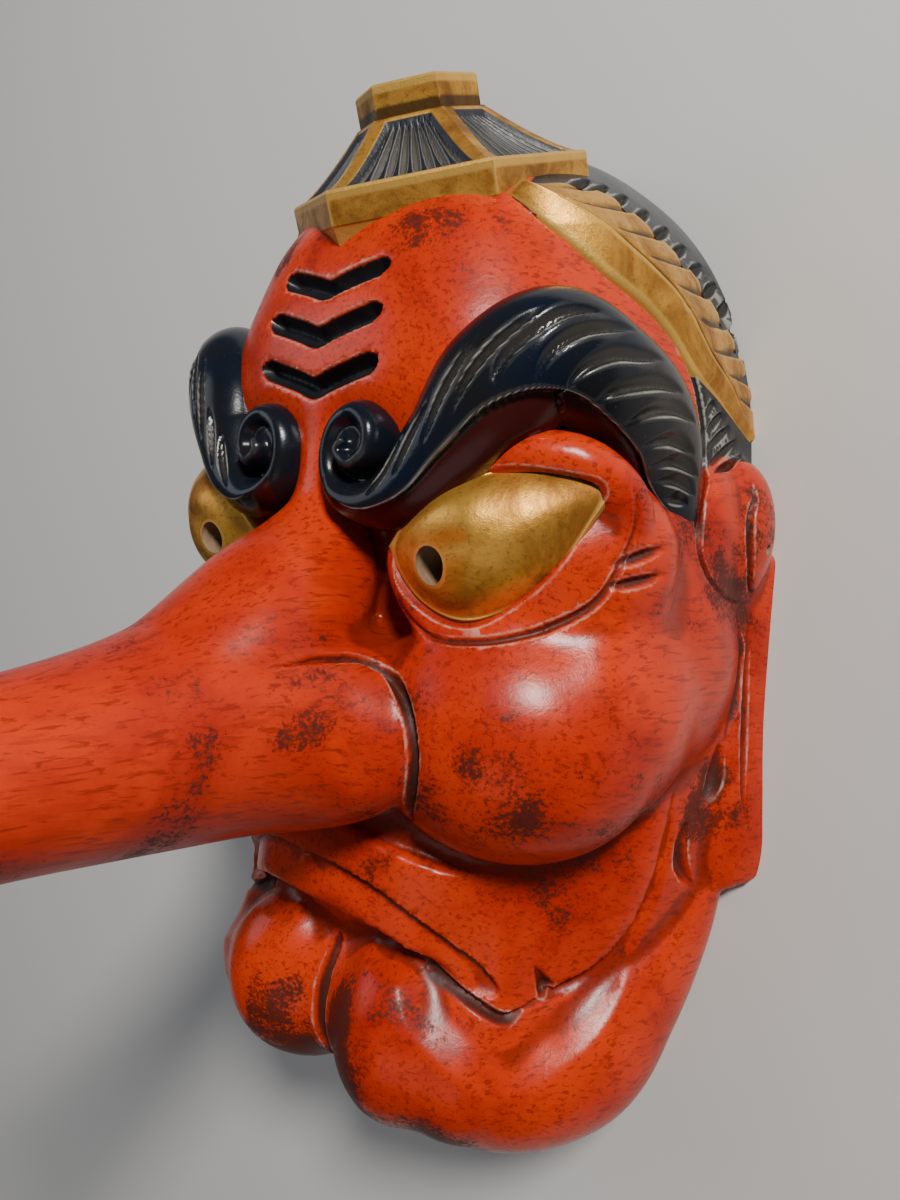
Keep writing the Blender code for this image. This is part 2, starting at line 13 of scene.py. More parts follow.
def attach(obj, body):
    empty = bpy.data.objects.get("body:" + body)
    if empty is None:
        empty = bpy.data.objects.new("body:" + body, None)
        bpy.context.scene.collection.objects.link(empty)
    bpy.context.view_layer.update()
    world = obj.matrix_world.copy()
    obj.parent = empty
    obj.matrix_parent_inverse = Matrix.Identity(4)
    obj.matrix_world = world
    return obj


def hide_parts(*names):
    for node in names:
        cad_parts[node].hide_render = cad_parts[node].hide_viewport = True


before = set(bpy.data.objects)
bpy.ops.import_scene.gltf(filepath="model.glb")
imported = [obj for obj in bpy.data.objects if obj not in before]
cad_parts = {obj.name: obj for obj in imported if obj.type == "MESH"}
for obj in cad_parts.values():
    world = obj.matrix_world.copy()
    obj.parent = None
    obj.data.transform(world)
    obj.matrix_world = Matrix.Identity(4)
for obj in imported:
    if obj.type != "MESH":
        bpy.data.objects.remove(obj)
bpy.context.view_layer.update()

# ---- The carved face
# The whole mask is one block of soft wood, hollowed behind and cut to a dome in front.
# The nose, cheeks, lips, chin and ears are left standing and rounded with a gouge, and the
# skin is brushed with vermilion lacquer and rubbed until the brown ground shows.

DEPTH = 100              # millimetres from the flat back to the eye holes
EYE_LINE = 15.4          # the eyes are above the middle of the height
BACK = -DEPTH
WALL = 9.5
GRAIN = 1.5              # size of the finest facets

# Level slices of the dome: height, half width at the back, front, fullness
DOME = [
    (141, 5, -92, 2.0), (138, 17, -76, 2.1), (129, 31, -52, 2.3), (117, 45, -26, 2.5),
    (104, 56, -7, 2.8), (89, 65, 4, 2.8), (76, 70.5, 8, 2.8), (60, 75.5, 11.5, 2.9),
    (43, 78, 11.5, 2.9), (25, 80, 3, 2.9), (10, 82, -5, 2.8), (-10, 85, -9, 2.6),
    (-40, 86, -8, 2.2), (-70, 86, -4, 1.9), (-86, 85, -3, 1.9), (-106, 82, -15, 2.1),
    (-125, 78, -30, 2.3), (-144, 76, -42, 2.4), (-155, 72, -50, 2.5), (-164, 63, -58, 2.5),
    (-170, 40, -75, 2.3),
]


def smooth_path(rows, count):
    """Points spread evenly along a smooth curve through the rows."""
    rows = np.array(rows, dtype=float)
    steps = np.linalg.norm(np.diff(rows[:, :3], axis=0), axis=1)
    knots = np.concatenate([[0.0], np.cumsum(steps)])
    slopes = np.gradient(rows, knots, axis=0)
    s = np.linspace(0.0, knots[-1], count)
    i = np.clip(np.searchsorted(knots, s) - 1, 0, len(knots) - 2)
    h = (knots[i + 1] - knots[i])[:, None]
    t = (s[:, None] - knots[i][:, None]) / h
    return ((1 + 2 * t) * (1 - t) ** 2 * rows[i] + t * (1 - t) ** 2 * h * slopes[i]
            + t * t * (3 - 2 * t) * rows[i + 1] + t * t * (t - 1) * h * slopes[i + 1])


def solid(name, verts, faces):
    mesh = bpy.data.meshes.new(name)
    mesh.from_pydata([tuple(v) for v in verts], [], faces)
    thing = bpy.data.objects.new(name, mesh)
    bpy.context.scene.collection.objects.link(thing)
    return thing


def thing_from(name, shape):
    thing = solid(name, [], [])
    shape.to_mesh(thing.data)
    shape.free()
    return thing


def loft(name, rings):
    """A closed skin over rings of equal count, with flat ends."""
    count, last = len(rings[0]), (len(rings) - 1) * len(rings[0])
    faces = [(r + i, r + (i + 1) % count, r + count + (i + 1) % count, r + count + i)
             for r in range(0, last, count) for i in range(count)]
    faces += [tuple(range(count - 1, -1, -1)), tuple(range(last, last + count))]
    thing = solid(name, [p for ring in rings for p in ring], faces)
    shape = bmesh.new()
    shape.from_mesh(thing.data)
    bmesh.ops.recalc_face_normals(shape, faces=shape.faces)
    shape.to_mesh(thing.data)
    shape.free()
    return thing


def facing_of(side, up):
    side, up = math.radians(side), math.radians(up)
    return np.array([math.sin(side) * math.cos(up), math.sin(up), math.cos(side) * math.cos(up)])


def ahead_and_out(path, i):
    """At a place on a roll: the way along it, and the way it faces, square to that."""
    ahead = path[min(i + 1, len(path) - 1), :3] - path[max(i - 1, 0), :3]
    ahead /= np.linalg.norm(ahead)
    out = facing_of(path[i, 5], path[i, 6])
    out -= ahead * (out @ ahead)
    return ahead, out / np.linalg.norm(out)


def roll(name, rows, count=60, sides=40):
    """A rounded roll. A row is x, y, z, half width, half depth, and which way it faces."""
    path = smooth_path(rows, count)
    rings = []
    for i, row in enumerate(path):
        ahead, out = ahead_and_out(path, i)
        across = np.cross(ahead, out)
        rings.append([row[:3] + across * row[3] * math.cos(a) + out * row[4] * math.sin(a)
                      for a in np.linspace(0, 2 * math.pi, sides, endpoint=False)])
    return loft(name, rings)


def ball(name, centre, radii, turn=0.0):
    shape = bmesh.new()
    bmesh.ops.create_icosphere(shape, subdivisions=5, radius=1.0)
    place = Matrix.Translation(Vector(centre)) @ Matrix.Rotation(turn, 4, "Y") @ Matrix.Diagonal((*radii, 1))
    bmesh.ops.transform(shape, matrix=place, verts=shape.verts)
    return thing_from(name, shape)


def both_sides(forms):
    """The forms, and the same forms on the other side of the face."""
    twins = []
    for form in forms:
        twin = form.copy()
        twin.data = form.data.copy()
        twin.name = form.name + "_far"
        twin.data.transform(Matrix.Scale(-1, 4, Vector((1, 0, 0))))
        twin.data.flip_normals()
        bpy.context.scene.collection.objects.link(twin)
        twins.append(twin)
    return forms + twins


def joined(name, forms):
    shape = bmesh.new()
    for form in forms:
        shape.from_mesh(form.data)
        bpy.data.objects.remove(form, do_unlink=True)
    return thing_from(name, shape)


def settle(body):
    """Keep what the modifiers make."""
    graph = bpy.context.evaluated_depsgraph_get()
    mesh = bpy.data.meshes.new_from_object(body.evaluated_get(graph))
    body.modifiers.clear()
    body.data = mesh


def united(name, forms, grain):
    """One closed body from overlapping forms."""
    body = joined(name, forms)
    remesh = body.modifiers.new("one body", "REMESH")
    remesh.mode = "VOXEL"
    remesh.voxel_size = grain
    settle(body)
    return body


def cut_with(body, tool):
    change = body.modifiers.new(tool.name, "BOOLEAN")
    change.operation = "DIFFERENCE"
    change.solver = "MANIFOLD"
    change.object = tool
    settle(body)
    bpy.data.objects.remove(tool, do_unlink=True)


def reduced(body, triangles):
    now = sum(len(p.vertices) - 2 for p in body.data.polygons)
    if now > triangles:
        fewer = body.modifiers.new("fewer facets", "DECIMATE")
        fewer.ratio = triangles / now
        settle(body)


def spots_of(mesh):
    spots = np.empty(len(mesh.vertices) * 3)
    mesh.vertices.foreach_get("co", spots)
    return spots.reshape(-1, 3)


def moved(body, spots):
    body.data.vertices.foreach_set("co", spots.ravel())
    body.data.update()


def facings_of(mesh):
    facings = np.empty(len(mesh.vertices) * 3)
    mesh.vertex_normals.foreach_get("vector", facings)
    return facings.reshape(-1, 3)


def spread(mesh, values, weight, rounds):
    """Even out one or more values over neighbouring points of a mesh."""
    pairs = np.empty(len(mesh.edges) * 2, dtype=np.int64)
    mesh.edges.foreach_get("vertices", pairs)
    a, b = pairs.reshape(-1, 2).T
    many = len(values)
    near = np.maximum(np.bincount(a, minlength=many) + np.bincount(b, minlength=many), 1)
    for _ in range(rounds):
        for k in range(values.shape[1]):
            total = (np.bincount(a, weights=values[b, k], minlength=many)
                     + np.bincount(b, weights=values[a, k], minlength=many))
            values[:, k] += weight * (total / near - values[:, k])
    return values


def head_slice(y):
    rows = np.array(DOME, dtype=float)[::-1]
    return [float(np.interp(y, rows[:, 0], rows[:, k])) for k in (1, 2, 3)]


def dome(behind=14.0, steps=60):
    rings = []
    for y in np.linspace(DOME[-1][0], DOME[0][0], 160):
        near = np.array([head_slice(y + d) for d in (-5, -2.5, 0, 2.5, 5)])
        if abs(y - DOME[0][0]) < 6 or abs(y - DOME[-1][0]) < 6:
            near = near[2:3]
        half, front, full = near.mean(axis=0)
        ring = []
        for k in range(steps + 1):
            c, s = math.cos(math.pi * k / steps), math.sin(math.pi * k / steps)
            ring.append((half * math.copysign(abs(c) ** (2 / full), c), y,
                         BACK + (front - BACK) * abs(s) ** (2 / full)))
        ring += [(x, y, BACK - behind) for x in (-half, -half * 0.5, 0.0, half * 0.5, half)]
        rings.append(ring)
    return loft("dome", rings)


# The nose: distance forward, middle height, half height, half width
NOSE = [
    (-20, -42, 25, 36), (-8, -44, 27.5, 43), (1, -45.5, 28.2, 46.5), (7, -46, 28.8, 46.5),
    (13, -45.8, 29.6, 42.5), (20, -45.2, 30.2, 37), (30, -45, 30.2, 32.5), (45, -46.6, 28.7, 28.2),
    (63, -50, 25, 24.7), (85, -53, 21.8, 21.5), (110, -56, 19.8, 19.6), (140, -59.5, 18.4, 18.2),
    (170, -63, 17.2, 17.0), (186, -65, 15.6, 15.4), (193, -65.9, 12.4, 12.2), (196, -66.3, 6.5, 6.4),
]


def nose():
    rings = []
    for z, middle, tall, wide in smooth_path(NOSE, 120):
        rings.append([(wide * math.cos(a), middle + tall * math.sin(a), z)
                      for a in np.linspace(0, 2 * math.pi, 96, endpoint=False)])
    return loft("nose", rings)


def bridge():
    return roll("bridge", [
        (0, 62, -14, 18, 20, 0, 0), (0, 42, -13, 17, 24, 0, 0), (0, 24, -9, 14, 20, 0, 0),
        (0, 10, -5, 14, 16, 0, 15), (0, -4, 3, 19, 19, 0, 40), (0, -16, 13, 24, 23, 0, 50),
        (0, -26, 25, 27, 22, 0, 60), (0, -36, 40, 24, 20, 0, 70)], count=60)


def cheek_side():
    return [
        ball("cheek", (53, -41, -25), (40, 35.5, 33), turn=0.5),
        ball("cheek_back", (66, -33, -46), (26, 34, 40), turn=0.25),
        ball("cheek_end", (72, -22, -66), (19, 36, 34)),
        ball("eye_mound", (54, 4, -27), (36, 30, 24), turn=0.35),
        ball("temple", (66, 2, -58), (19, 30, 32)),
        roll("lid", LID, count=90, sides=20),
    ]


# The raised lids round each eye, and the almond that they leave open
LID = [
    (27, 0, 0, 3, 4, 10, 0), (36, 12, -1, 5, 6, 15, 0), (47, 22, -4, 6.5, 7, 20, 10),
    (60, 28, -7, 7, 7.5, 30, 10), (73, 27, -14, 7, 7.5, 45, 10), (80, 18, -23, 6.5, 6.5, 55, 0),
    (76, 4, -23, 6, 6, 50, 0), (67, -8, -16, 5.5, 6, 35, -10), (54, -15, -7, 5, 6, 25, -10),
    (40, -14, -2, 4.5, 6, 15, -10), (31, -7, -1, 4, 5, 10, 0), (27, 0, 0, 3, 4, 10, 0)]
ALMOND = [
    (30.5, 3.5, 6), (37, 10.5, 8), (47, 17.5, 8), (59, 23.5, 1), (70, 24.5, -6), (79, 22, -11),
    (76, 13, -9), (71, 3, -7), (64, -5, -5), (52, -11.5, 2), (41, -8.5, 4), (34, -2.5, 5)]


# The muzzle stands proud of the chin and the jaw: its upper edge under the cheek, and its lip
MUZZLE = [
    ((-4, -70, -2), (-4, -101, -5.5)), ((14, -74, -3), (16, -101, -6)),
    ((26, -78, -6), (25, -103, -9)), ((36, -80, -10), (33, -107, -14)),
    ((44, -82, -16), (40, -113.5, -21.5)), ((50, -83, -23), (47, -118.5, -26.5)),
    ((56, -83, -30), (55, -122.5, -31)), ((61, -82, -37), (58.5, -119, -38)),
    ((66, -80, -42), (63.5, -115, -45.5)), ((70, -76, -48), (69, -110, -52)),
    ((74, -71, -53), (73.5, -103, -57)), ((77.5, -65, -58), (77, -93, -61)),
    ((80, -58, -62), (79, -81, -64)), ((81, -52, -66), (80, -66, -66))]


def muzzle():
    rows = smooth_path([top + low for top, low in MUZZLE], 60)
    centre = np.array([0, -85, -80])
    rings = []
    for row in rows:
        top, low = row[:3], row[3:]
        out = (top + low) / 2 - centre
        out /= np.linalg.norm(out)
        front = [top + (low - top) * t + out * (0.8 + 2.4 * t * (1 - t)) for t in np.linspace(0, 1, 12)]
        rings.append(front + [point - out * 26 for point in front[::-1]])
    return loft("muzzle", rings)


def mouth_side():
    return [
        ball("chin", (22, -137, -37), (26, 32, 33), turn=0.3),
        ball("chin_jaw", (36, -139, -44), (28, 31, 32), turn=0.4),
        roll("jaw", [
            (24, -139, -46, 29, 27, 20, 0), (41, -142, -50, 30, 30, 35, 0), (57, -138, -63, 28, 26, 50, 0),
            (69, -122, -76, 21, 17, 68, 0), (77, -102, -88, 13, 11, 80, 0), (80, -84, -95, 8, 8, 85, 0)]),
        muzzle(),
    ]


def ear_side():
    return [
        ball("ear_top", (79, 17, -89), (12.5, 23, 17), turn=0.25),
        ball("ear_bulb", (78, 15, -76), (9, 20.5, 19.5), turn=0.2),
        roll("ear_lobe", [
            (80, 12, -98, 16, 8, 60, 0), (81, -10, -98, 16, 8, 60, 0), (83, -40, -98, 16, 8, 62, 0),
            (85, -66, -98, 17, 9, 62, 0), (87, -80, -100, 16, 9, 62, 0), (88, -87, -102, 14, 8, 62, 0)]),
    ]


def blob(spots, centre, radii):
    """1 at a place on both sides of the face, fading to 0 at its radii."""
    both = np.column_stack([np.abs(spots[:, 0]), spots[:, 1:]])
    return np.clip(1.4 - 1.4 * (((both - centre) / radii) ** 2).sum(axis=1), 0, 1)


# Where the forms run softly into each other: how softly, the middle of the place, and its radii
SOFT = [
    (0.75, (8, -16, 24), (36, 26, 34)), (0.6, (0, 40, 5), (26, 40, 20)), (0.6, (60, -16, -22), (40, 20, 40)),
    (0.8, (80, -24, -62), (22, 44, 36)), (0.75, (44, -140, -48), (38, 34, 50)),
    (0.5, (14, -140, -8), (12, 26, 22)), (0.8, (0, -138, -16), (15, 36, 26)),
    (0.8, (84, -12, -30), (24, 26, 30))]


def face_blend(spots):
    weight = np.full(len(spots), 0.035)
    for much, centre, radii in SOFT:
        weight += much * blob(spots, centre, radii)
    return np.clip(weight, 0, 0.85)


def on_skin(tree, points):
    return [tree.find_nearest(Vector(point))[0] for point in points]


def tree_of(thing):
    shape = bmesh.new()
    shape.from_mesh(thing.data)
    tree = BVHTree.FromBMesh(shape)
    shape.free()
    return tree


def pointed(u):
    return np.sin(np.pi * np.clip(u, 0.0, 1.0)) ** 0.6


def blunt(u):
    return np.clip(np.minimum(u, 1 - u) * 14, 0, 1) ** 0.5


def even(u):
    return np.ones_like(u)


def widening(u):
    return np.clip(u, 0.02, 1.0) ** 0.8


def gouged(spots, facings, cuts):
    """Press gouge cuts into the points. A cut is its line, width, depth, shape of the ends, lean and stain.
    A cut that leans falls away steeply on one side of its line and runs out slowly on the other.
    The stain is how dark the cut was left, from 0 to 1, and 2 is a cut inked black.
    Returns the points, how deep in a cut each one is from 0 to 1, how near the worn lip of a cut,
    and how deep in an inked cut."""
    push, deep = np.zeros(len(spots)), np.zeros(len(spots))
    worn, ink = np.zeros(len(spots)), np.zeros(len(spots))
    for points, width, depth, ends, lean, stain in cuts:
        path = smooth_path(points, max(int(len(points) * 8), 12))
        low, high = path.min(axis=0) - width - 2, path.max(axis=0) + width + 2
        near = np.flatnonzero(((spots > low) & (spots < high)).all(axis=1))
        if not len(near):
            continue
        start, step = path[:-1], np.diff(path, axis=0)
        square = (step ** 2).sum(axis=1)
        place = spots[near][:, None, :]
        t = np.clip(((place - start) * step).sum(axis=2) / square, 0, 1)
        away = place - (start + t[..., None] * step)
        pick = np.linalg.norm(away, axis=2).argmin(axis=1)
        rows = np.arange(len(near))
        away, t = away[rows, pick], t[rows, pick]
        gap, share = np.linalg.norm(away, axis=1), ends((pick + t) / len(step))
        half = width / 2 * share + 1e-6
        if lean:
            aside = np.cross(step[pick] / np.sqrt(square[pick])[:, None], facings[near])
            aside = (away * aside).sum(axis=1) * lean
            half = np.where(aside > 0, width * share, 0.9 * share) + 1e-6
        inside = np.clip(1 - gap / half, 0, 1)
        push[near] = np.maximum(push[near], depth * share * (1 - (1 - inside) ** (1.2 if lean else 1.6)))
        crease = np.clip(1 - gap / np.minimum(half, 3.5), 0, 1)
        deep[near] = np.maximum(deep[near], np.clip(crease * 2.5, 0, 1) * share * min(stain, 1))
        lip = np.where(aside < 0, gap - half, 9) if lean else gap - half
        worn[near] = np.maximum(worn[near], np.exp(-((lip - 0.2) / 0.5) ** 2) * share * min(stain * 4, 1))
        if stain == 2:
            ink[near] = np.maximum(ink[near], np.clip(inside * 4, 0, 1))
    return spots - facings * push[:, None], deep, worn, ink


def finer(body, wanted):
    """Split the facets round the wanted points in four."""
    shape = bmesh.new()
    shape.from_mesh(body.data)
    edges = [edge for edge in shape.edges if wanted[edge.verts[0].index] or wanted[edge.verts[1].index]]
    bmesh.ops.subdivide_edges(shape, edges=edges, cuts=1, use_grid_fill=True)
    shape.to_mesh(body.data)
    shape.free()


def store(mesh, **values):
    for name, value in values.items():
        layer = mesh.attributes.get(name) or mesh.attributes.new(name, "FLOAT", "POINT")
        layer.data.foreach_set("value", value.astype(np.float32))


def relief(mesh):
    """How far each point lies in a hollow of the carving (the hollow value, used as painted shade) or on an
    edge of it (crest).
    """
    spots, facings = spots_of(mesh), facings_of(mesh)
    even = spread(mesh, spots.copy(), 1.0, 3)
    rise = ((even - spots) * facings).sum(axis=1)[:, None]
    fine = spread(mesh, rise.copy(), 0.7, 2)[:, 0]
    wide = spread(mesh, rise.copy(), 0.9, 14)[:, 0]
    scale = 1 / (0.05 * GRAIN)
    return np.clip(fine * scale * 0.6 + wide * scale * 1.2, 0, 1), np.clip(-fine * scale * 0.5, 0, 1)


def mirror_line(points):
    return [(-x, y, z) for x, y, z in points]


# The gouge cuts, on the face's left side. A chevron is its low end, high end and half width.
CHEVRONS = [(43, 50, 24), (57, 64, 23), (71, 77.5, 22)]
NOSE_WING = [(25, -28, 36), (26, -26.5, 29), (27, -26, 20), (30, -26, 12), (35, -28, 8), (41, -32, 8),
             (46, -38, 9), (48, -45, 8), (47, -53, 6), (43, -61, 2), (37, -68, -4), (31, -73, -10)]
LIP = [(0, -87, -5), (14, -87.5, -6.5), (24, -90, -10), (33, -95.5, -15), (42, -103, -21.5), (49, -109, -28),
       (53, -115.5, -32)]
MOUTH = [(0, -101, -6), (9, -101, -6.5), (17, -101, -7), (25, -103, -10.5), (33, -107, -15),
         (39, -113, -23), (44, -117, -26.5), (49, -120, -29), (55, -122.5, -32.5), (58, -120, -37)]
JOWL = [(55, -122.5, -32.5), (58.5, -119, -39), (62, -116, -45), (66, -112, -50), (70, -108, -54.5),
        (73, -102, -58.5), (76, -93, -62), (78, -80, -64.5), (79, -68, -65.5), (80, -56, -66)]
THORN = [(57, -107, -38.5), (58.5, -111, -41), (59.5, -115, -43)]
VALLEY = [(14, -108, -8), (25, -109, -14), (33, -116, -22), (41, -124, -23), (49, -130, -26), (58, -132, -31),
          (65, -127, -40), (71, -118, -52), (76, -104, -62)]
CLEFT = [(0, -109, -14), (0, -118, -14), (0, -130, -12), (0, -145, -12), (0, -160, -20), (0, -168, -34)]
CROW_FEET = [[(80, 4, -16), (83, 6.5, -21), (86, 9.5, -28), (87.5, 10.5, -31)],
             [(79, -1, -16), (82, 1, -22), (86, 3, -28), (88, 4, -31)]]
LID_RING = [(29, -5, 5), (34, -13, 4), (44.5, -18, 1), (56, -17.5, -1), (70, -11.5, -11), (79, -4, -16),
            (82, 4, -18.5), (84, 13, -20), (83.5, 20, -19), (80, 26, -16)]
EAR_LINE = [(84, 38, -80), (88.5, 28, -80), (88.6, 23, -78), (89, 17, -78), (89, 11, -80), (88, 4, -84),
            (87, -1, -91)]
EAR_VALLEY = [(84, -5, -83), (85, -14, -88), (85.5, -24, -89), (86, -34, -88.5), (86, -44, -87)]
EAR_LEAF = [(84, -44, -85), (85, -52, -84.5), (85, -59, -83), (83.5, -64, -79)]
EAR_EDGE = [(86.5, -5, -92), (87.5, -22, -92.4), (89, -37, -92.7), (90, -49, -92.7), (91.5, -60, -92.6),
            (93.5, -71, -94.5)]
JAW_LEAF = [(82.5, -67, -75), (82, -74, -74.5), (82, -80, -76), (83, -88, -83)]
HAIR_LINE = [(40, 96, -14), (47, 91, -17), (55, 85, -23.5), (61, 79, -31.5), (66, 74.5, -42), (70.5, 68, -53),
             (74, 59.5, -61), (75.5, 51.5, -64.5), (77, 44, -66.5), (78, 36, -66.5), (79, 29, -65),
             (81, 23, -60), (83, 17, -57), (84, 11, -57), (85, 5, -61), (86, 0, -69), (87, -2, -80),
             (87, -4, -93)]

# The hair behind the feather and over the ear, as heights and distances forward
HAIR_REAR = [(103, -30), (104, -42), (100, -55), (94.5, -66), (88, -76), (81, -86), (72, -96)]
HAIR_CUTS = 11
SIDE_CUTS = [((49, -67.5), (54.5, -73)), ((44.5, -68), (52, -78)), ((40, -68.5), (49, -83)),
             ((35, -69), (46, -88)), ((30, -69), (42, -92))]

# The top of the ear, as distances forward and heights
EAR_TOP = [(-96, 36), (-88, 38.5), (-80, 39.5), (-73, 38), (-67, 34), (-61, 31), (-56, 30)]


def head_side(y, z):
    half, front, full = head_slice(y)
    share = min(max((z - BACK) / (front - BACK), 0.0), 1.0)
    return np.array([half * (1 - share ** full) ** (1 / full), y, z])


def face_cuts(tree):
    """Every cut in the face, laid on its skin, as gouged() takes them."""
    cuts = []
    for low, high, wide in CHEVRONS:
        points = [(x * wide, low + (high - low) * abs(x), 14) for x in np.linspace(-1, 1, 9)]
        cuts.append((on_skin(tree, points), 6.4, 4.2, blunt, 0, 2))
    cuts.append((on_skin(tree, CLEFT), 6.0, 4.0, pointed, 0, 0.9))
    side = [(VALLEY, 22.0, 2.6, pointed, 0, 0), (NOSE_WING, 3.6, 2.4, pointed, 0, 0.9),
            (LIP, 9.0, 2.6, blunt, 1, 0.15), (MOUTH, 5.0, 3.2, blunt, 1, 0.9),
            (JOWL, 7.0, 3.4, pointed, 1, 0.45), (THORN, 6.0, 3.4, widening, 0, 0.8),
            (LID_RING, 2.8, 1.3, pointed, 0, 0.7), (ALMOND + ALMOND[:1], 3.0, 0.6, even, 0, 0.5),
            (EAR_LINE, 3.0, 2.0, pointed, 0, 0.8), (EAR_VALLEY, 5.5, 2.0, pointed, 0, 0.8),
            (EAR_LEAF, 7.0, 3.0, pointed, 0, 0.7),
            (EAR_EDGE, 2.4, 1.2, pointed, 0, 0.6), (JAW_LEAF, 6.5, 3.0, pointed, 0, 0.7),
            (HAIR_LINE, 3.0, 1.8, pointed, 0, 0.6)]
    side += [(foot, 3.4, 1.8, pointed, 0, 0.8) for foot in CROW_FEET]
    for y, z in [row[:2] for row in smooth_path([(*row, 0) for row in HAIR_REAR], HAIR_CUTS)]:
        line = [head_side(y + 10 * t, max(z - 18 * t, BACK)) for t in (0, 0.3, 0.6, 1)]
        side.append((line, 4.2, 2.4, pointed, 0, 1))
    for (y0, z0), (y1, z1) in SIDE_CUTS:
        line = [head_side(y0 + (y1 - y0) * t, z0 + (z1 - z0) * t) for t in (0, 0.5, 1)]
        side.append((line, 3.0, 1.8, pointed, 0, 1))
    for points, width, depth, ends, lean, stain in side:
        cuts.append((on_skin(tree, points), width, depth, ends, lean, stain))
        cuts.append((on_skin(tree, mirror_line(points)), width, depth, ends, -lean, stain))
    return cuts


def room(into=0.0):
    """The hollow behind the face, a wall's thickness inside the skin, or reaching into the wall."""
    rings, steps = [], 32
    for y in np.linspace(DOME[-1][0] + WALL, DOME[0][0] - WALL, 60):
        half, front, full = head_slice(y)
        inset, deep = max(half - WALL, 6), max(front - WALL - BACK, 8)
        ring = []
        for k in range(steps + 1):
            c, s = math.cos(math.pi * k / steps), math.sin(math.pi * k / steps)
            ring.append((inset * math.copysign(abs(c) ** (2 / full), c), y,
                         BACK + deep * abs(s) ** (2 / full)))
        rings.append(ring + [(-inset, y, BACK - 20), (inset, y, BACK - 20)])
    pits = both_sides([
        ball("eye_room", (52, 5, -24), (26 - WALL / 2, 24 - WALL / 2, 26 - WALL), turn=0.3),
        ball("cheek_room", (53, -38, -28), (40 - WALL, 37 - WALL, 33 - WALL), turn=0.5)])
    body = united("room", [loft("room", rings)] + pits, 3.0)
    moved(body, spread(body.data, spots_of(body.data), 0.5, 11) + facings_of(body.data) * into)
    return body


def bore(place, width, length, turn=0.0):
    shape = bmesh.new()
    stand = Matrix.Translation(Vector(place)) @ Matrix.Rotation(turn, 4, "Y")
    bmesh.ops.create_cone(shape, cap_ends=True, segments=40, radius1=width / 2, radius2=width / 2,
                          depth=length, matrix=stand)
    return thing_from("bore", shape)


def slab(level):
    """A block over all that lies behind a level."""
    low, high = Vector((-150, -220, BACK - 60)), Vector((150, 220, level))
    shape = bmesh.new()
    bmesh.ops.create_cube(shape, size=1.0)
    bmesh.ops.transform(shape, verts=shape.verts,
                        matrix=Matrix.Translation((low + high) / 2) @ Matrix.Diagonal((*(high - low), 1)))
    return thing_from("slab", shape)


EYE_FACING = (20, -4)    # degrees outward and upward
PEEP_OUT = 45            # peep hole, from the middle of the face
PEEP_WIDTH = 9.5
CORD_HOLE = (84, 14, BACK + 13)
CORD_WIDTH = 3.0
FACETS = 190000          # most facets in the carved face


def sockets():
    """The almond openings of the lids, cut in along the way each eye faces."""
    out, rim = Vector(facing_of(*EYE_FACING)), smooth_path(ALMOND + ALMOND[:1], 60)[:-1]
    middle = Vector(rim.mean(axis=0))
    ahead, behind = [], []
    for spot in rim:
        flat = Vector(spot) - out * (Vector(spot) - middle).dot(out)
        ahead.append(flat + out * 40)
        behind.append(flat - out * 14)
    return both_sides([loft("socket", [behind, ahead])])


def peep_hole(out):
    return bore((out, 0, -10), PEEP_WIDTH, 70)


def edge_of_hair(spots):
    """Millimetres inside the hair, which lies behind the hair line and above the ear."""
    line = np.array(HAIR_LINE)[::-1]
    edge = np.interp(spots[:, 1], [0, *line[:, 1], 118, 142], [-70, *line[:, 2], -40, -60])
    ear_top = np.interp(spots[:, 2], *zip(*EAR_TOP))
    return np.minimum(edge - spots[:, 2], spots[:, 1] - ear_top)


# Where hands and age have rubbed the lacquer through, and, on the chin's lobes and underside, painted shade
# as well: how much, the middle of the place, its radii
RUBBED_AND_SHADED = [
    (1.35, (14, -146, -10), (13, 28, 22)), (1.1, (26, -164, -24), (36, 18, 30)),
    (0.55, (62, -55, 0), (22, 18, 22)), (0.5, (80, -20, -30), (16, 26, 22)),
    (0.5, (84, 16, -84), (14, 22, 16)), (0.5, (48, 88, -2), (18, 9, 22)), (0.45, (26, 84, 4), (14, 9, 14)),
    (0.4, (30, -38, 30), (16, 14, 18)), (0.5, (34, -86, -10), (22, 8, 20)),
    (0.7, (86, -62, -80), (12, 18, 14))]


def rubbed_places(spots):
    return np.clip(sum(much * blob(spots, centre, radii) for much, centre, radii in RUBBED_AND_SHADED), 0, 1)


def carried(mesh, before, values):
    """Values at the points as they were, given to the points that are there now, each by its nearest."""
    tree = KDTree(len(before))
    for i, spot in enumerate(before):
        tree.insert(spot, i)
    tree.balance()
    index = np.array([tree.find(spot)[1] for spot in spots_of(mesh)])
    return [value[index] for value in values]


forms = [dome(), nose(), bridge(), ball("chin_middle", (0, -136, -45), (22, 30, 30))]
face = united("face", forms + both_sides(cheek_side() + mouth_side() + ear_side()), GRAIN)
skin = spots_of(face.data)
skin = spread(face.data, skin, face_blend(skin), int(70 / GRAIN ** 2))
moved(face, skin)

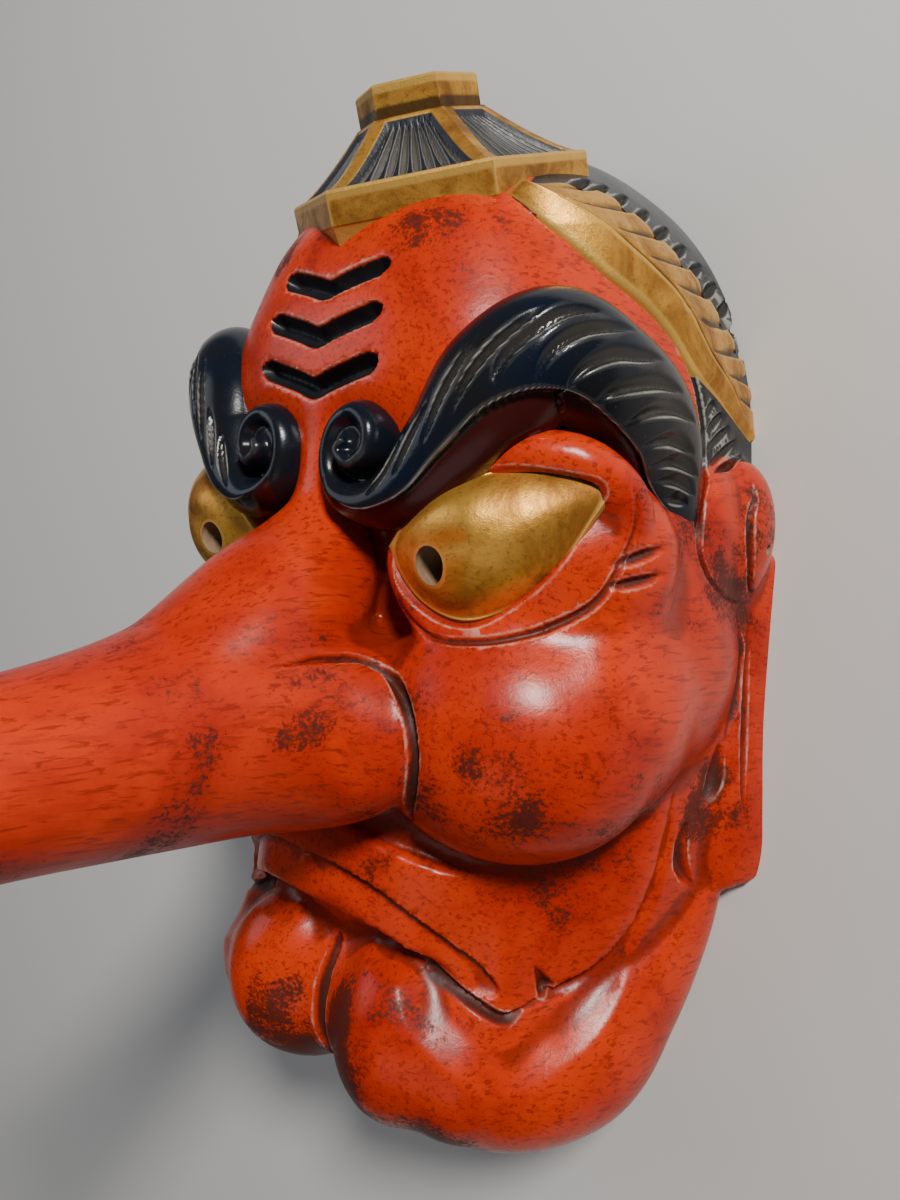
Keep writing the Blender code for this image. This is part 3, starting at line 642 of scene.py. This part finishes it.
# The facets round the cuts are split in four before the cuts are pressed in.
carving = face_cuts(tree_of(face))
cut, deep, worn, ink = gouged(skin, facings_of(face.data), carving)
finer(face, (np.linalg.norm(cut - skin, axis=1) > 0.03) & (deep > 0) | (worn > 0.03))
skin, deep, worn, ink = gouged(spots_of(face.data), facings_of(face.data), carving)
moved(face, skin)
skin_tree = tree_of(face)
cord_hole = bore(CORD_HOLE, CORD_WIDTH, 60, math.radians(90))
for tool in [room(), slab(BACK)] + sockets() + both_sides([peep_hole(PEEP_OUT)]) + both_sides([cord_hole]):
    cut_with(face, tool)
deep, worn, ink = carried(face.data, skin, [deep, worn, ink])
dip, crest = relief(face.data)
cut = spots_of(face.data)
reduced(face, FACETS)
deep, worn, ink, dip, crest = carried(face.data, cut, [deep, worn, ink, dip, crest])
spots = spots_of(face.data)
store(face.data, deep=deep, worn=worn, ink=ink, dip=dip, crest=crest, hair=edge_of_hair(spots),
      rub=rubbed_places(spots))

# A facet that lies off the carved skin is on a wall of the hollow or a bore, and is bare wood.
inside = np.array([skin_tree.find_nearest(p.center)[3] > 0.5 for p in face.data.polygons])


# The finishes. Each one is a ground of brown, the lacquer over it, and the wear.

def finish_tree(name):
    """A new finish: the material, its nodes, and the shader."""
    material = bpy.data.materials.new(name)
    material.use_nodes = True
    return material, material.node_tree, material.node_tree.nodes["Principled BSDF"]


def add(tree, kind, inputs=(), **settings):
    node = tree.nodes.new(kind)
    for name, value in settings.items():
        setattr(node, name, value)
    for name, value in dict(inputs).items():
        if isinstance(value, bpy.types.NodeSocket):
            tree.links.new(value, node.inputs[name])
        else:
            node.inputs[name].default_value = value
    return node


def mark(tree, name):
    return add(tree, "ShaderNodeAttribute", attribute_name=name).outputs["Fac"]


def noise(tree, scale, detail=4.0, rough=0.55, stretch=(1, 1, 1), twist=0.0):
    """Noise of a size, in features per metre, over the carved form."""
    where = add(tree, "ShaderNodeTexCoord").outputs["Object"]
    where = add(tree, "ShaderNodeMapping", {"Vector": where, "Scale": stretch}).outputs["Vector"]
    return add(tree, "ShaderNodeTexNoise", {
        "Vector": where, "Scale": scale, "Detail": detail, "Roughness": rough,
        "Distortion": twist}).outputs["Fac"]


def ramp(tree, value, low, high, to_low=0.0, to_high=1.0):
    return add(tree, "ShaderNodeMapRange", {
        "Value": value, "From Min": low, "From Max": high, "To Min": to_low, "To Max": to_high},
        interpolation_type="SMOOTHSTEP").outputs["Result"]


def sums(tree, kind, a, b, c=None):
    inputs = {0: a, 1: b}
    if c is not None:
        inputs[2] = c
    clamp = kind in ("ADD", "MULTIPLY")
    return add(tree, "ShaderNodeMath", inputs, operation=kind, use_clamp=clamp).outputs[0]


def over(tree, amount, under, top):
    """One colour laid over another by an amount."""
    node = add(tree, "ShaderNodeMix", {"Factor": amount}, data_type="RGBA")
    for socket, value in ((6, under), (7, top)):
        if isinstance(value, bpy.types.NodeSocket):
            tree.links.new(value, node.inputs[socket])
        else:
            node.inputs[socket].default_value = (*value, 1.0)
    return node.outputs[2]


def layered(tree, colour, layers):
    """Tints laid over a colour, each where a noise or a named mark rises from low to high."""
    for where, low, high, most, tint in layers:
        if isinstance(where, str):
            where = mark(tree, where)
        colour = over(tree, ramp(tree, where, low, high, 0, most), colour, tint)
    return colour


def dressed(tree, shader, colour, roughness, height, strength, distance):
    """Give the shader its colour, its roughness and the fine relief of its surface."""
    bump = add(tree, "ShaderNodeBump", {"Height": height, "Strength": strength, "Distance": distance})
    tree.links.new(colour, shader.inputs["Base Color"])
    tree.links.new(roughness, shader.inputs["Roughness"])
    tree.links.new(bump.outputs["Normal"], shader.inputs["Normal"])


def red_lacquer():
    material, tree, shader = finish_tree("vermilion_lacquer")
    cloud = noise(tree, 22, 6, 0.6, twist=0.6)
    patch = noise(tree, 75, 7, 0.68, twist=0.4)
    speck = noise(tree, 900, 3, 0.7)
    grit = noise(tree, 2200, 2, 0.6)
    brush = noise(tree, 260, 5, 0.65, stretch=(1, 1, 0.12), twist=0.8)
    streak = noise(tree, 800, 4, 0.6, stretch=(1, 1, 0.09), twist=0.5)
    # the vermilion varies from orange to crimson in broad clouds
    colour = layered(tree, (0.60, 0.034, 0.0015), [
        (cloud, 0.38, 0.66, 1, (0.38, 0.012, 0.0015)),
        (brush, 0.50, 0.70, 0.45, (0.24, 0.012, 0.005)),
        (streak, 0.53, 0.64, 0.6, (0.15, 0.010, 0.004))])
    # rubbed patches of the brown ground, and painted shade under the chin, broken up into fine specks
    level = sums(tree, "MULTIPLY_ADD", patch, 0.5, ramp(tree, cloud, 0.2, 0.8, 0, 0.5))
    level = sums(tree, "MULTIPLY_ADD", mark(tree, "rub"), 0.27, level)
    level = sums(tree, "MULTIPLY_ADD", speck, 0.55, sums(tree, "SUBTRACT", level, 0.31))
    patina = ramp(tree, level, 0.58, 0.70)
    colour = over(tree, sums(tree, "MULTIPLY", patina, 0.85), colour, (0.040, 0.009, 0.005))
    # fine grit, painted shade in the hollows of the carving, and umber in the gouge cuts
    colour = layered(tree, colour, [
        (grit, 0.66, 0.74, 0.5, (0.10, 0.012, 0.006)),
        ("dip", 0.3, 1.0, 0.55, (0.070, 0.010, 0.006)),
        ("deep", 0.2, 0.9, 0.85, (0.030, 0.011, 0.008))])
    # pale worn lips
    broken = ramp(tree, noise(tree, 300, 3), 0.38, 0.6, 0.35, 1)
    wear = sums(tree, "MULTIPLY", ramp(tree, mark(tree, "worn"), 0.45, 0.95), broken)
    colour = over(tree, sums(tree, "MULTIPLY", wear, 0.65), colour, (0.55, 0.34, 0.26))
    # inked chevrons and black hair
    black = layered(tree, (0.006, 0.007, 0.010), [(patch, 0.45, 0.7, 0.6, (0.030, 0.027, 0.024))])
    colour = over(tree, ramp(tree, mark(tree, "ink"), 0.25, 0.5), colour, black)
    lock = layered(tree, (0.005, 0.007, 0.012), [
        ("deep", 0.1, 0.6, 0.75, (0.030, 0.027, 0.023)),
        ("worn", 0.45, 0.9, 0.7, (0.38, 0.36, 0.32))])
    colour = over(tree, ramp(tree, mark(tree, "hair"), -0.2, 0.4), colour, lock)
    gloss = sums(tree, "MULTIPLY_ADD", patina, 0.16, ramp(tree, cloud, 0.3, 0.7, 0.20, 0.30))
    gloss = sums(tree, "MULTIPLY_ADD", speck, 0.10, gloss)
    gloss = sums(tree, "MULTIPLY_ADD", mark(tree, "deep"), 0.25, gloss)
    shader.inputs["Specular IOR Level"].default_value = 0.3
    height = sums(tree, "MULTIPLY_ADD", brush, 0.5, sums(tree, "MULTIPLY", speck, 0.3))
    dressed(tree, shader, colour, gloss, height, 0.22, 0.0006)
    return material


def bare_wood():
    material, tree, shader = finish_tree("bare_wood")
    rings = noise(tree, 60, 5, 0.6, stretch=(1, 0.12, 1), twist=1.0)
    pores = noise(tree, 900, 4, 0.7, stretch=(1, 0.08, 1))
    stain = noise(tree, 16, 5, 0.6)
    colour = layered(tree, (0.36, 0.24, 0.14), [
        (rings, 0.35, 0.65, 1, (0.22, 0.135, 0.075)),
        (pores, 0.5, 0.7, 0.5, (0.12, 0.075, 0.045)),
        (stain, 0.5, 0.75, 0.6, (0.13, 0.10, 0.075))])
    gloss = ramp(tree, pores, 0.3, 0.7, 0.6, 0.85)
    dressed(tree, shader, colour, gloss, sums(tree, "ADD", pores, rings), 0.35, 0.0008)
    return material


def placed(thing, *finishes, angle=40):
    """Set a finished form in its place on the mask, with its finish, hang it on the root body, and hide the
    mask part from model.glb.
    """
    thing.data.transform(Matrix.Translation((0, EYE_LINE / 1000, DEPTH / 1000)) @ Matrix.Scale(0.001, 4))
    thing.data.materials.clear()
    for finish in finishes:
        thing.data.materials.append(finish)
    thing.data.shade_smooth()
    thing.data.set_sharp_from_angle(angle=math.radians(angle))
    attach(thing, "root")
    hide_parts("mask")


vermilion, wood = red_lacquer(), bare_wood()
placed(face, vermilion, wood, angle=50)
face.data.polygons.foreach_set("material_index", inside.astype(np.int32))


# ---- The eyes
# Two bulging balls left standing in their sockets and gilded with gold powder over a brown
# ground, each ringed by a thick lacquered lid, with a peep hole bored through near the nose.

EYE_BULGE = 10.5         # how far the middle of the ball stands out of its own edge
EYE_SUNK = 2.6           # how far that edge lies behind the almond
RIM_POINTS = 160


def gilding(tree, size, bright, brown, fleck, cuts, edges, gloss):
    """Gold powder over a brown ground, with painted shade in its hollows: its colour, its roughness and its
    grain.
    """
    cloud = noise(tree, size, 6, 0.65, twist=0.8)
    grain = noise(tree, 700, 4, 0.7)
    grit = noise(tree, 2600, 2, 0.6)
    colour = layered(tree, bright, [
        (cloud, 0.35, 0.68, 1, brown), (grain, 0.5, 0.75, 0.6, fleck),
        ("dip", 0.1, 0.8, 0.85, (0.045, 0.024, 0.012)), ("deep", 0.15, 0.8, cuts, (0.06, 0.028, 0.010)),
        ("crest", 0.15, 0.8, edges, (0.85, 0.52, 0.12))])
    roughness = sums(tree, "MULTIPLY_ADD", grit, 0.2, ramp(tree, cloud, 0.3, 0.7, *gloss))
    return colour, roughness, sums(tree, "MULTIPLY_ADD", grain, 0.7, sums(tree, "MULTIPLY", grit, 0.3))


def gold_powder():
    material, tree, shader = finish_tree("gold_powder")
    colour, roughness, grain = gilding(
        tree, 45, (0.78, 0.40, 0.065), (0.32, 0.125, 0.018), (0.12, 0.045, 0.010), 0.75, 0.6, (0.26, 0.46))
    shader.inputs["Metallic"].default_value = 0.75
    dressed(tree, shader, colour, roughness, grain, 0.3, 0.0005)
    return material


def plain_marks(thing):
    """The marks of a form before any cuts in it are added."""
    none = np.zeros(len(thing.data.vertices))
    dip, crest = relief(thing.data)
    store(thing.data, deep=none, worn=none, ink=none, dip=dip, crest=crest, hair=none - 9, rub=none)


def eyeball():
    """A bulge that fills the almond from lid to lid."""
    out, rim = facing_of(*EYE_FACING), smooth_path(ALMOND + ALMOND[:1], RIM_POINTS + 1)[:-1]
    middle, widest = rim.mean(axis=0), 1.06
    rings = [middle + (rim - middle) * 1.1 - out * 16, middle + (rim - middle) * 1.1 - out * 4]
    for share in np.linspace(widest, 0.02, 60):
        rise = EYE_BULGE * (1 - (share / widest) ** 2) ** 0.75 - EYE_SUNK
        rings.append(middle + (rim - middle) * share + out * rise)
    eye = loft("eye", rings)

    # the bulge is rounded off while its first three rings, behind the lids, stay where they are
    held = 3 * RIM_POINTS
    spots = spots_of(eye.data)
    edge = spots[:held].copy()
    for _ in range(40):
        spots = spread(eye.data, spots, 0.5, 4)
        spots[:held] = edge
    moved(eye, spots)
    return eye


gold = gold_powder()
for eye in both_sides([eyeball()]):
    hole = math.copysign(PEEP_OUT, eye.data.vertices[0].co.x)
    cut_with(eye, peep_hole(hole))
    cut_with(eye, room())
    plain_marks(eye)
    # the back and the wall of the hole are bare wood
    bare = np.array([math.hypot(p.center[0] - hole, p.center[1]) < PEEP_WIDTH / 2 + 0.05
                     or p.normal[2] < -0.1 for p in eye.data.polygons])
    placed(eye, gold, wood)
    eye.data.polygons.foreach_set("material_index", bare.astype(np.int32))


# ---- The brows
# Each brow is a thick roll of the same block that sweeps from a curl beside the nose over the
# eye to the ear. Locks are cut along it with a gouge, and it is finished in blue-black lacquer.

BROW = [
    (9, 30, 1, 1.5, 4, 5, 0), (9.5, 23, 4, 3, 8, 5, 0), (14, 16, 5, 4.5, 10, 5, 0),
    (22, 14, 4, 6.5, 11.5, 8, -5), (31, 17, 2, 9.5, 13, 10, -5), (43, 30, 0, 13, 14, 15, 0),
    (54, 45.5, -3, 16.5, 14, 28, 10), (63, 53, -9, 16.5, 14, 42, 15), (71, 49.5, -20, 15.5, 12.5, 58, 15),
    (75, 44, -33, 15.5, 10, 70, 10), (76, 36, -44, 14, 8, 75, 0), (77, 26, -52, 10, 6, 78, 0),
    (79, 17, -58, 3, 3, 80, 0)]
CURL = [
    (25, 14, 3, 6, 10.5, 8, 0), (16, 15, 4, 5.2, 10.5, 5, 0), (10.5, 20, 4, 4.6, 10.2, 5, 0),
    (9, 27, 4, 4.3, 10.2, 5, 0), (12, 34, 4, 4.2, 10.4, 5, 0), (18.5, 36.5, 4, 4.2, 10.8, 5, 0),
    (24, 32.5, 4, 4.1, 11, 5, 0), (24.3, 26.5, 4, 3.8, 11.2, 5, 0), (19.5, 23.5, 5, 3.4, 11.2, 5, 0),
    (16, 27, 6, 3, 10.8, 5, 0), (18, 29.5, 6, 2, 10.4, 5, 0)]

# Cuts in the brow, as shares of its length and turns from its middle line, -1 low to 1 high
STRANDS = [
    ((0.19, 0.10), (0.25, 0.30), (0.32, 0.42)), ((0.26, 0.08), (0.31, 0.22), (0.39, 0.34)),
    ((0.33, 0.02), (0.40, 0.20), (0.45, 0.27), (0.49, 0.38)),
    ((0.39, -0.03), (0.44, 0.07), (0.48, 0.13), (0.52, 0.18), (0.56, 0.28))]
CRESCENTS = [
    ((0.46, -0.14), (0.495, -0.03), (0.54, 0.04), (0.565, 0.13), (0.60, 0.30)),
    ((0.505, -0.33), (0.545, -0.20), (0.58, -0.03), (0.61, 0.15), (0.64, 0.34)),
    ((0.56, -0.55), (0.60, -0.31), (0.625, -0.10), (0.66, 0.06), (0.70, 0.28)),
    ((0.63, -0.60), (0.645, -0.40), (0.67, -0.22), (0.70, -0.05), (0.76, 0.26)),
    ((0.68, -0.62), (0.705, -0.36), (0.75, -0.08), (0.82, 0.34)),
    ((0.745, -0.60), (0.78, -0.30), (0.86, 0.16)),
    ((0.805, -0.58), (0.84, -0.26), (0.91, 0.24)), ((0.86, -0.55), (0.89, -0.26), (0.94, 0.10)),
    ((0.91, -0.55), (0.945, -0.15))]
BROW_EDGE = [(0.12, -0.10), (0.16, -0.20), (0.25, -0.24), (0.34, -0.24), (0.44, -0.30), (0.50, -0.44),
             (0.58, -0.62), (0.66, -0.70), (0.74, -0.73), (0.90, -0.74), (0.99, -0.70)]


def brow_point(along, turn):
    """A point on the brow's skin."""
    path = smooth_path(BROW, 201)
    i = int(round(along * 200))
    row = path[i]
    ahead, out = ahead_and_out(path, i)
    turn = turn * math.pi / 2
    return row[:3] + np.cross(out, ahead) * row[3] * math.sin(turn) + out * row[4] * math.cos(turn)


def brow_cuts():
    cuts = [([brow_point(*spot) for spot in strand], 2.8, 1.6, pointed, 0, 1) for strand in STRANDS]
    cuts += [([brow_point(*spot) for spot in crescent], 3.6, 2.0, pointed, -1, 1) for crescent in CRESCENTS]
    cuts.append(([brow_point(*spot) for spot in BROW_EDGE], 9.0, 2.4, blunt, 1, 1))
    return cuts


def brow():
    """The thick roll, with how far each point is under its lower edge."""
    count, sides = 380, 150
    thing = roll("brow", BROW, count, sides)
    spots, deep, worn, _ = gouged(spots_of(thing.data), facings_of(thing.data), brow_cuts())
    moved(thing, spread(thing.data, spots, 0.4, 1))
    edge = np.array(BROW_EDGE)
    along = np.repeat(np.linspace(0, 1, count), sides)
    degrees = np.tile(np.linspace(0, 360, sides, endpoint=False), count)
    # the roll's points start at its lower edge and go over its front
    turn = np.where(degrees < 270, degrees - 90, degrees - 450) / 90
    under = np.interp(along, edge[:, 0], edge[:, 1]) - turn
    under = np.where(turn < -1.0, 1.0, under)
    before = spots_of(thing.data)
    cut_with(thing, room(into=2))
    deep, worn, under = carried(thing.data, before, [np.where(under > 0, 0, deep), worn, under])
    plain_marks(thing)
    store(thing.data, deep=deep, worn=worn, under=under)
    return thing


def curl():
    """The end of the brow, wound up beside the nose."""
    forms = [roll("winding", CURL, 160, 40), ball("core", (17.5, 28, 4), (8, 8.5, 9.4))]
    thing = united("curl", forms, 0.7)
    moved(thing, spread(thing.data, spots_of(thing.data), 0.5, 4))
    cut_with(thing, room(into=2))
    plain_marks(thing)
    store(thing.data, under=np.full(len(thing.data.vertices), -1.0))
    return thing


def black_lacquer():
    material, tree, shader = finish_tree("blue_black_lacquer")
    cloud = noise(tree, 40, 5, 0.6)
    speck = noise(tree, 1500, 2, 0.6)
    colour = layered(tree, (0.004, 0.008, 0.018), [
        (cloud, 0.35, 0.7, 1, (0.008, 0.008, 0.009)),
        (speck, 0.70, 0.76, 0.5, (0.10, 0.10, 0.10)),
        ("deep", 0.3, 1.0, 0.55, (0.050, 0.043, 0.033))])
    broken = ramp(tree, noise(tree, 260, 3), 0.40, 0.6, 0.65, 1)
    wear = sums(tree, "MULTIPLY", ramp(tree, mark(tree, "worn"), 0.5, 0.95), broken)
    colour = over(tree, sums(tree, "MULTIPLY", wear, 0.7), colour, (0.36, 0.35, 0.32))
    colour = layered(tree, colour, [
        ("crest", 0.6, 1.0, 0.15, (0.16, 0.15, 0.14)),
        ("under", -0.02, 0.04, 1, (0.035, 0.004, 0.003))])
    gloss = sums(tree, "MULTIPLY_ADD", speck, 0.1, ramp(tree, cloud, 0.3, 0.7, 0.12, 0.22))
    shader.inputs["Specular IOR Level"].default_value = 0.3
    dressed(tree, shader, colour, gloss, speck, 0.08, 0.0004)
    return material


jet = black_lacquer()
for thing in both_sides([brow(), curl()]):
    placed(thing, jet)


# ---- The gold feathers
# A narrow feather of the hair is left raised from the cap to each ear. Its front edge is a
# smooth ridge, its back half is cut into leaves, and all of it is gilded.

# From the cap down: height and distance forward of the front edge, then of the rear edge
FEATHER = [
    (97, -14, 99, -18), (91, -17.5, 103, -30), (85, -23.5, 104, -43), (79, -32, 100.5, -54),
    (74.5, -42, 95, -65), (68, -52.5, 88.5, -75.5), (60, -61.5, 81, -86), (55, -74, 72.5, -96),
    (50, -87, 62, -102), (46.5, -98, 52, -106)]
SPINE = 0.27             # place of the ridge between the front and the rear edge
RAISED = 5.0             # height of the ridge over the head
LEAVES = 9


def feather_point(row, share):
    """A point across the feather, from the front edge to the rear one."""
    y, z = row[0] + (row[2] - row[0]) * share, row[1] + (row[3] - row[1]) * share
    point = head_side(y, max(z, BACK))
    point[2] = z
    out = np.array([0.8, 0.55, 0.2]) if y > 75 else np.array([0.93, 0.35, 0.05])
    rise = (share / SPINE) ** 0.7 if share < SPINE else 1 - 0.55 * (share - SPINE) / (1 - SPINE)
    rise *= 1 - 0.65 * min(max((72 - row[0]) / 22, 0), 1)
    return point + out / np.linalg.norm(out) * (RAISED * rise - 0.5)


def feather():
    along, across = 240, 56
    rows = smooth_path([(row[0], row[1], 0, row[2], row[3]) for row in FEATHER], along)[:, [0, 1, 3, 4]]
    rings = []
    for row in rows:
        front = [feather_point(row, share) for share in np.linspace(0, 1, across)]
        rings.append(front + [point - (9, 5, 0) for point in (front[-1], front[across // 2], front[0])])
    thing = loft("feather", rings)
    leaves = []
    for k in range(LEAVES):
        at = int(-8 + 200 * k / (LEAVES - 1))
        line = [feather_point(rows[min(max(at + reach, 0), along - 1)], share)
                for reach, share in ((0, 0.31), (9, 0.42), (18, 0.57), (26, 0.74), (33, 0.9), (36, 1.0))]
        leaves.append((line, 5.0, 1.5, widening, -1, 0.8))
    line = [feather_point(row, SPINE + 0.05) for row in rows[6::18]]
    leaves.append((line, 2.0, 0.7, pointed, 0, 0.6))
    spots, deep, worn, _ = gouged(spots_of(thing.data), facings_of(thing.data), leaves)
    moved(thing, spots)
    cut_with(thing, slab(BACK + 0.3))
    cut_with(thing, room(into=2))
    deep, worn = carried(thing.data, spots, [deep, worn])
    plain_marks(thing)
    store(thing.data, deep=deep, worn=worn)
    return thing


for thing in both_sides([feather()]):
    placed(thing, gold)


# ---- The cap
# A small six-sided cap stands on the forehead, tipped forward. It is part of the block: a band,
# six sloping panels cut with gouges between raised ridges, and a six-sided knob on top.

CAP_SEAT = np.array([0, 104.8, -31.6])
CAP_TIP = 24.5           # degrees
CAP_ACROSS = 45          # centre to corner
CAP_BAND = 9             # height of the gold band
CAP_RISE = 25.2          # band foot to knob foot
KNOB_ACROSS = 18
KNOB_RISE = 8.5
KNOB_AHEAD = 2
RIDGE = 3.6              # half width of the gold ridges
PANEL_LONG = 32          # up its slope
PANEL_SUNK = 1.3
PLEATS = 8
PLEAT_DEEP = 1.5


def cap_point(turn, across, rise, ahead=0.0):
    """A point on the cap: turn from the front corner, distance from its middle, height."""
    a, t = math.radians(turn), math.radians(CAP_TIP)
    x, forward = across * math.sin(a), across * math.cos(a) + ahead
    y, z = rise * math.cos(t) - forward * math.sin(t), rise * math.sin(t) + forward * math.cos(t)
    return CAP_SEAT + (x, y, z)


def roof(share):
    """The panels' slope from band to knob: distance from the middle, height, shift forward."""
    across = CAP_ACROSS - 2 + (KNOB_ACROSS + 1 - CAP_ACROSS + 2) * share
    return across, CAP_BAND + (CAP_RISE - CAP_BAND) * share ** 1.25, KNOB_AHEAD * share


def cap():
    """Rings of points from the foot of the band to the top of the knob."""
    per_side = 112
    # distance from the middle, height, shift forward, and share of the way up the panels or -1
    stations = [(CAP_ACROSS - 3, -14, 0, -1), (CAP_ACROSS - 0.6, -0.6, 0, -1), (CAP_ACROSS, 0.2, 0, -1)]
    stations += [(CAP_ACROSS, rise, 0, -1) for rise in np.linspace(1, CAP_BAND - 0.8, 8)]
    stations += [(CAP_ACROSS - 0.7, CAP_BAND, 0, -1)]
    stations += [(*roof(share), share) for share in np.linspace(0.0, 1.0, 56)]
    stations += [(KNOB_ACROSS, CAP_RISE + 0.3, KNOB_AHEAD, -1)]
    stations += [(KNOB_ACROSS, CAP_RISE + rise, KNOB_AHEAD, -1)
                 for rise in np.linspace(1, KNOB_RISE - 0.7, 8)]
    stations += [(KNOB_ACROSS - 0.7, CAP_RISE + KNOB_RISE, KNOB_AHEAD, -1),
                 (KNOB_ACROSS - 3, CAP_RISE + KNOB_RISE, KNOB_AHEAD, -1),
                 (KNOB_ACROSS - 4, CAP_RISE + KNOB_RISE - 1.5, KNOB_AHEAD, -1)]
    down = cap_point(0, 0, 0) - cap_point(0, 0, 1)
    rings, panel, deep, worn = [], [], [], []
    for across, rise, ahead, share in stations:
        ring = []
        for side in range(6):
            a, b = cap_point(60 * side, across, rise, ahead), cap_point(60 * side + 60, across, rise, ahead)
            wide = np.linalg.norm(b - a)
            for k in range(per_side):
                u = k / per_side
                point = a + (b - a) * u
                in_panel = min(u * wide, (1 - u) * wide) - RIDGE
                ends = min(share - 0.05, 0.95 - share) * PANEL_LONG
                in_panel = min(in_panel, ends) if share >= 0 else -3.0
                sunk = min(max(in_panel / 1.2, 0.0), 1.0)
                inner = (u * wide - RIDGE) / max(wide - 2 * RIDGE, 0.1) * PLEATS
                half = 0.36 * pointed(np.array((share - 0.06) / 0.88)) ** 0.7 if 0.06 < share < 0.94 else 0.0
                gap = abs(inner - math.floor(inner) - 0.5)
                groove = max(1 - gap / half, 0.0) if half > 0.02 and sunk >= 1 else 0.0
                ring.append(point + down * (PANEL_SUNK * sunk + PLEAT_DEEP * groove))
                panel.append(in_panel)
                deep.append(min(groove * 2, 1.0))
                worn.append(math.exp(-((gap - half) / 0.09) ** 2) if sunk >= 1 and half > 0.02 else 0.0)
        rings.append(ring)
    thing = loft("cap", rings)
    plain_marks(thing)
    store(thing.data, panel=np.array(panel), deep=np.array(deep), worn=np.array(worn))
    return thing


def gilt_and_black():
    """Gold powder on the band and ridges, and blue-black lacquer in the panels."""
    material, tree, shader = finish_tree("gilt_and_black")
    gilt, roughness, grain = gilding(
        tree, 60, (0.74, 0.37, 0.060), (0.27, 0.11, 0.017), (0.12, 0.06, 0.02), 0, 0.7, (0.24, 0.42))
    black = layered(tree, (0.005, 0.008, 0.016), [
        ("deep", 0.2, 1.0, 0.75, (0.11, 0.10, 0.085)),
        ("worn", 0.5, 1.0, 0.5, (0.34, 0.33, 0.30))])
    in_panel = ramp(tree, mark(tree, "panel"), -0.15, 0.25)
    tree.links.new(ramp(tree, in_panel, 0, 1, 0.75, 0.0), shader.inputs["Metallic"])
    dressed(tree, shader, over(tree, in_panel, gilt, black), roughness, grain, 0.3, 0.0006)
    return material


hat = cap()
cut_with(hat, room(into=2))
placed(hat, gilt_and_black(), angle=32)


# ---- The floor, the light and the camera
# A plain pale floor and soft studio light; the camera looks down on the lying mask.

floor = solid("floor", [(-40, -40, 0), (40, -40, 0), (40, 40, 0), (-40, 40, 0)], [(0, 1, 2, 3)])
paper, _, paper_shader = finish_tree("pale_floor")
paper_shader.inputs["Base Color"].default_value = (0.62, 0.61, 0.59, 1.0)
paper_shader.inputs["Roughness"].default_value = 0.8
floor.data.materials.append(paper)


def soft_light(name, place, aim, size, power, colour=(1.0, 1.0, 1.0)):
    light = bpy.data.lights.new(name, "AREA")
    light.shape, light.size, light.energy, light.color = "DISK", size, power, colour
    lamp = bpy.data.objects.new(name, light)
    lamp.location = place
    lamp.rotation_euler = (Vector(aim) - Vector(place)).to_track_quat("-Z", "Y").to_euler()
    bpy.context.scene.collection.objects.link(lamp)


soft_light("key", (0.80, 0.85, 0.90), (0, 0, 0.06), 0.30, 26.0, (1.0, 0.97, 0.92))
soft_light("fill", (-1.0, 0.4, 1.1), (0, 0, 0.05), 1.0, 4.5, (0.82, 0.88, 1.0))
soft_light("front", (0.5, -0.9, 1.2), (0, 0, 0.05), 1.0, 1.5)
world = bpy.data.worlds.new("studio")
world.use_nodes = True
world.node_tree.nodes["Background"].inputs["Color"].default_value = (0.85, 0.87, 0.9, 1.0)
world.node_tree.nodes["Background"].inputs["Strength"].default_value = 0.09
bpy.context.scene.world = world

lens = bpy.data.cameras.new("camera")
lens.sensor_fit = "VERTICAL"
lens.sensor_height, lens.sensor_width = 36.0, 27.0
lens.lens = 25.98
lens.clip_start = 0.01
camera = bpy.data.objects.new("camera", lens)
right, up, back = (0.7597, 0.1066, -0.6415), (-0.1217, 0.9923, 0.0208), (0.6388, 0.0623, 0.7669)
camera.matrix_world = Matrix.Translation((0.1836, 0.0053 + EYE_LINE / 1000, 0.2643)) @ Matrix(
    [[right[i], up[i], back[i]] for i in range(3)]).to_4x4()
bpy.context.scene.collection.objects.link(camera)
bpy.context.scene.camera = camera
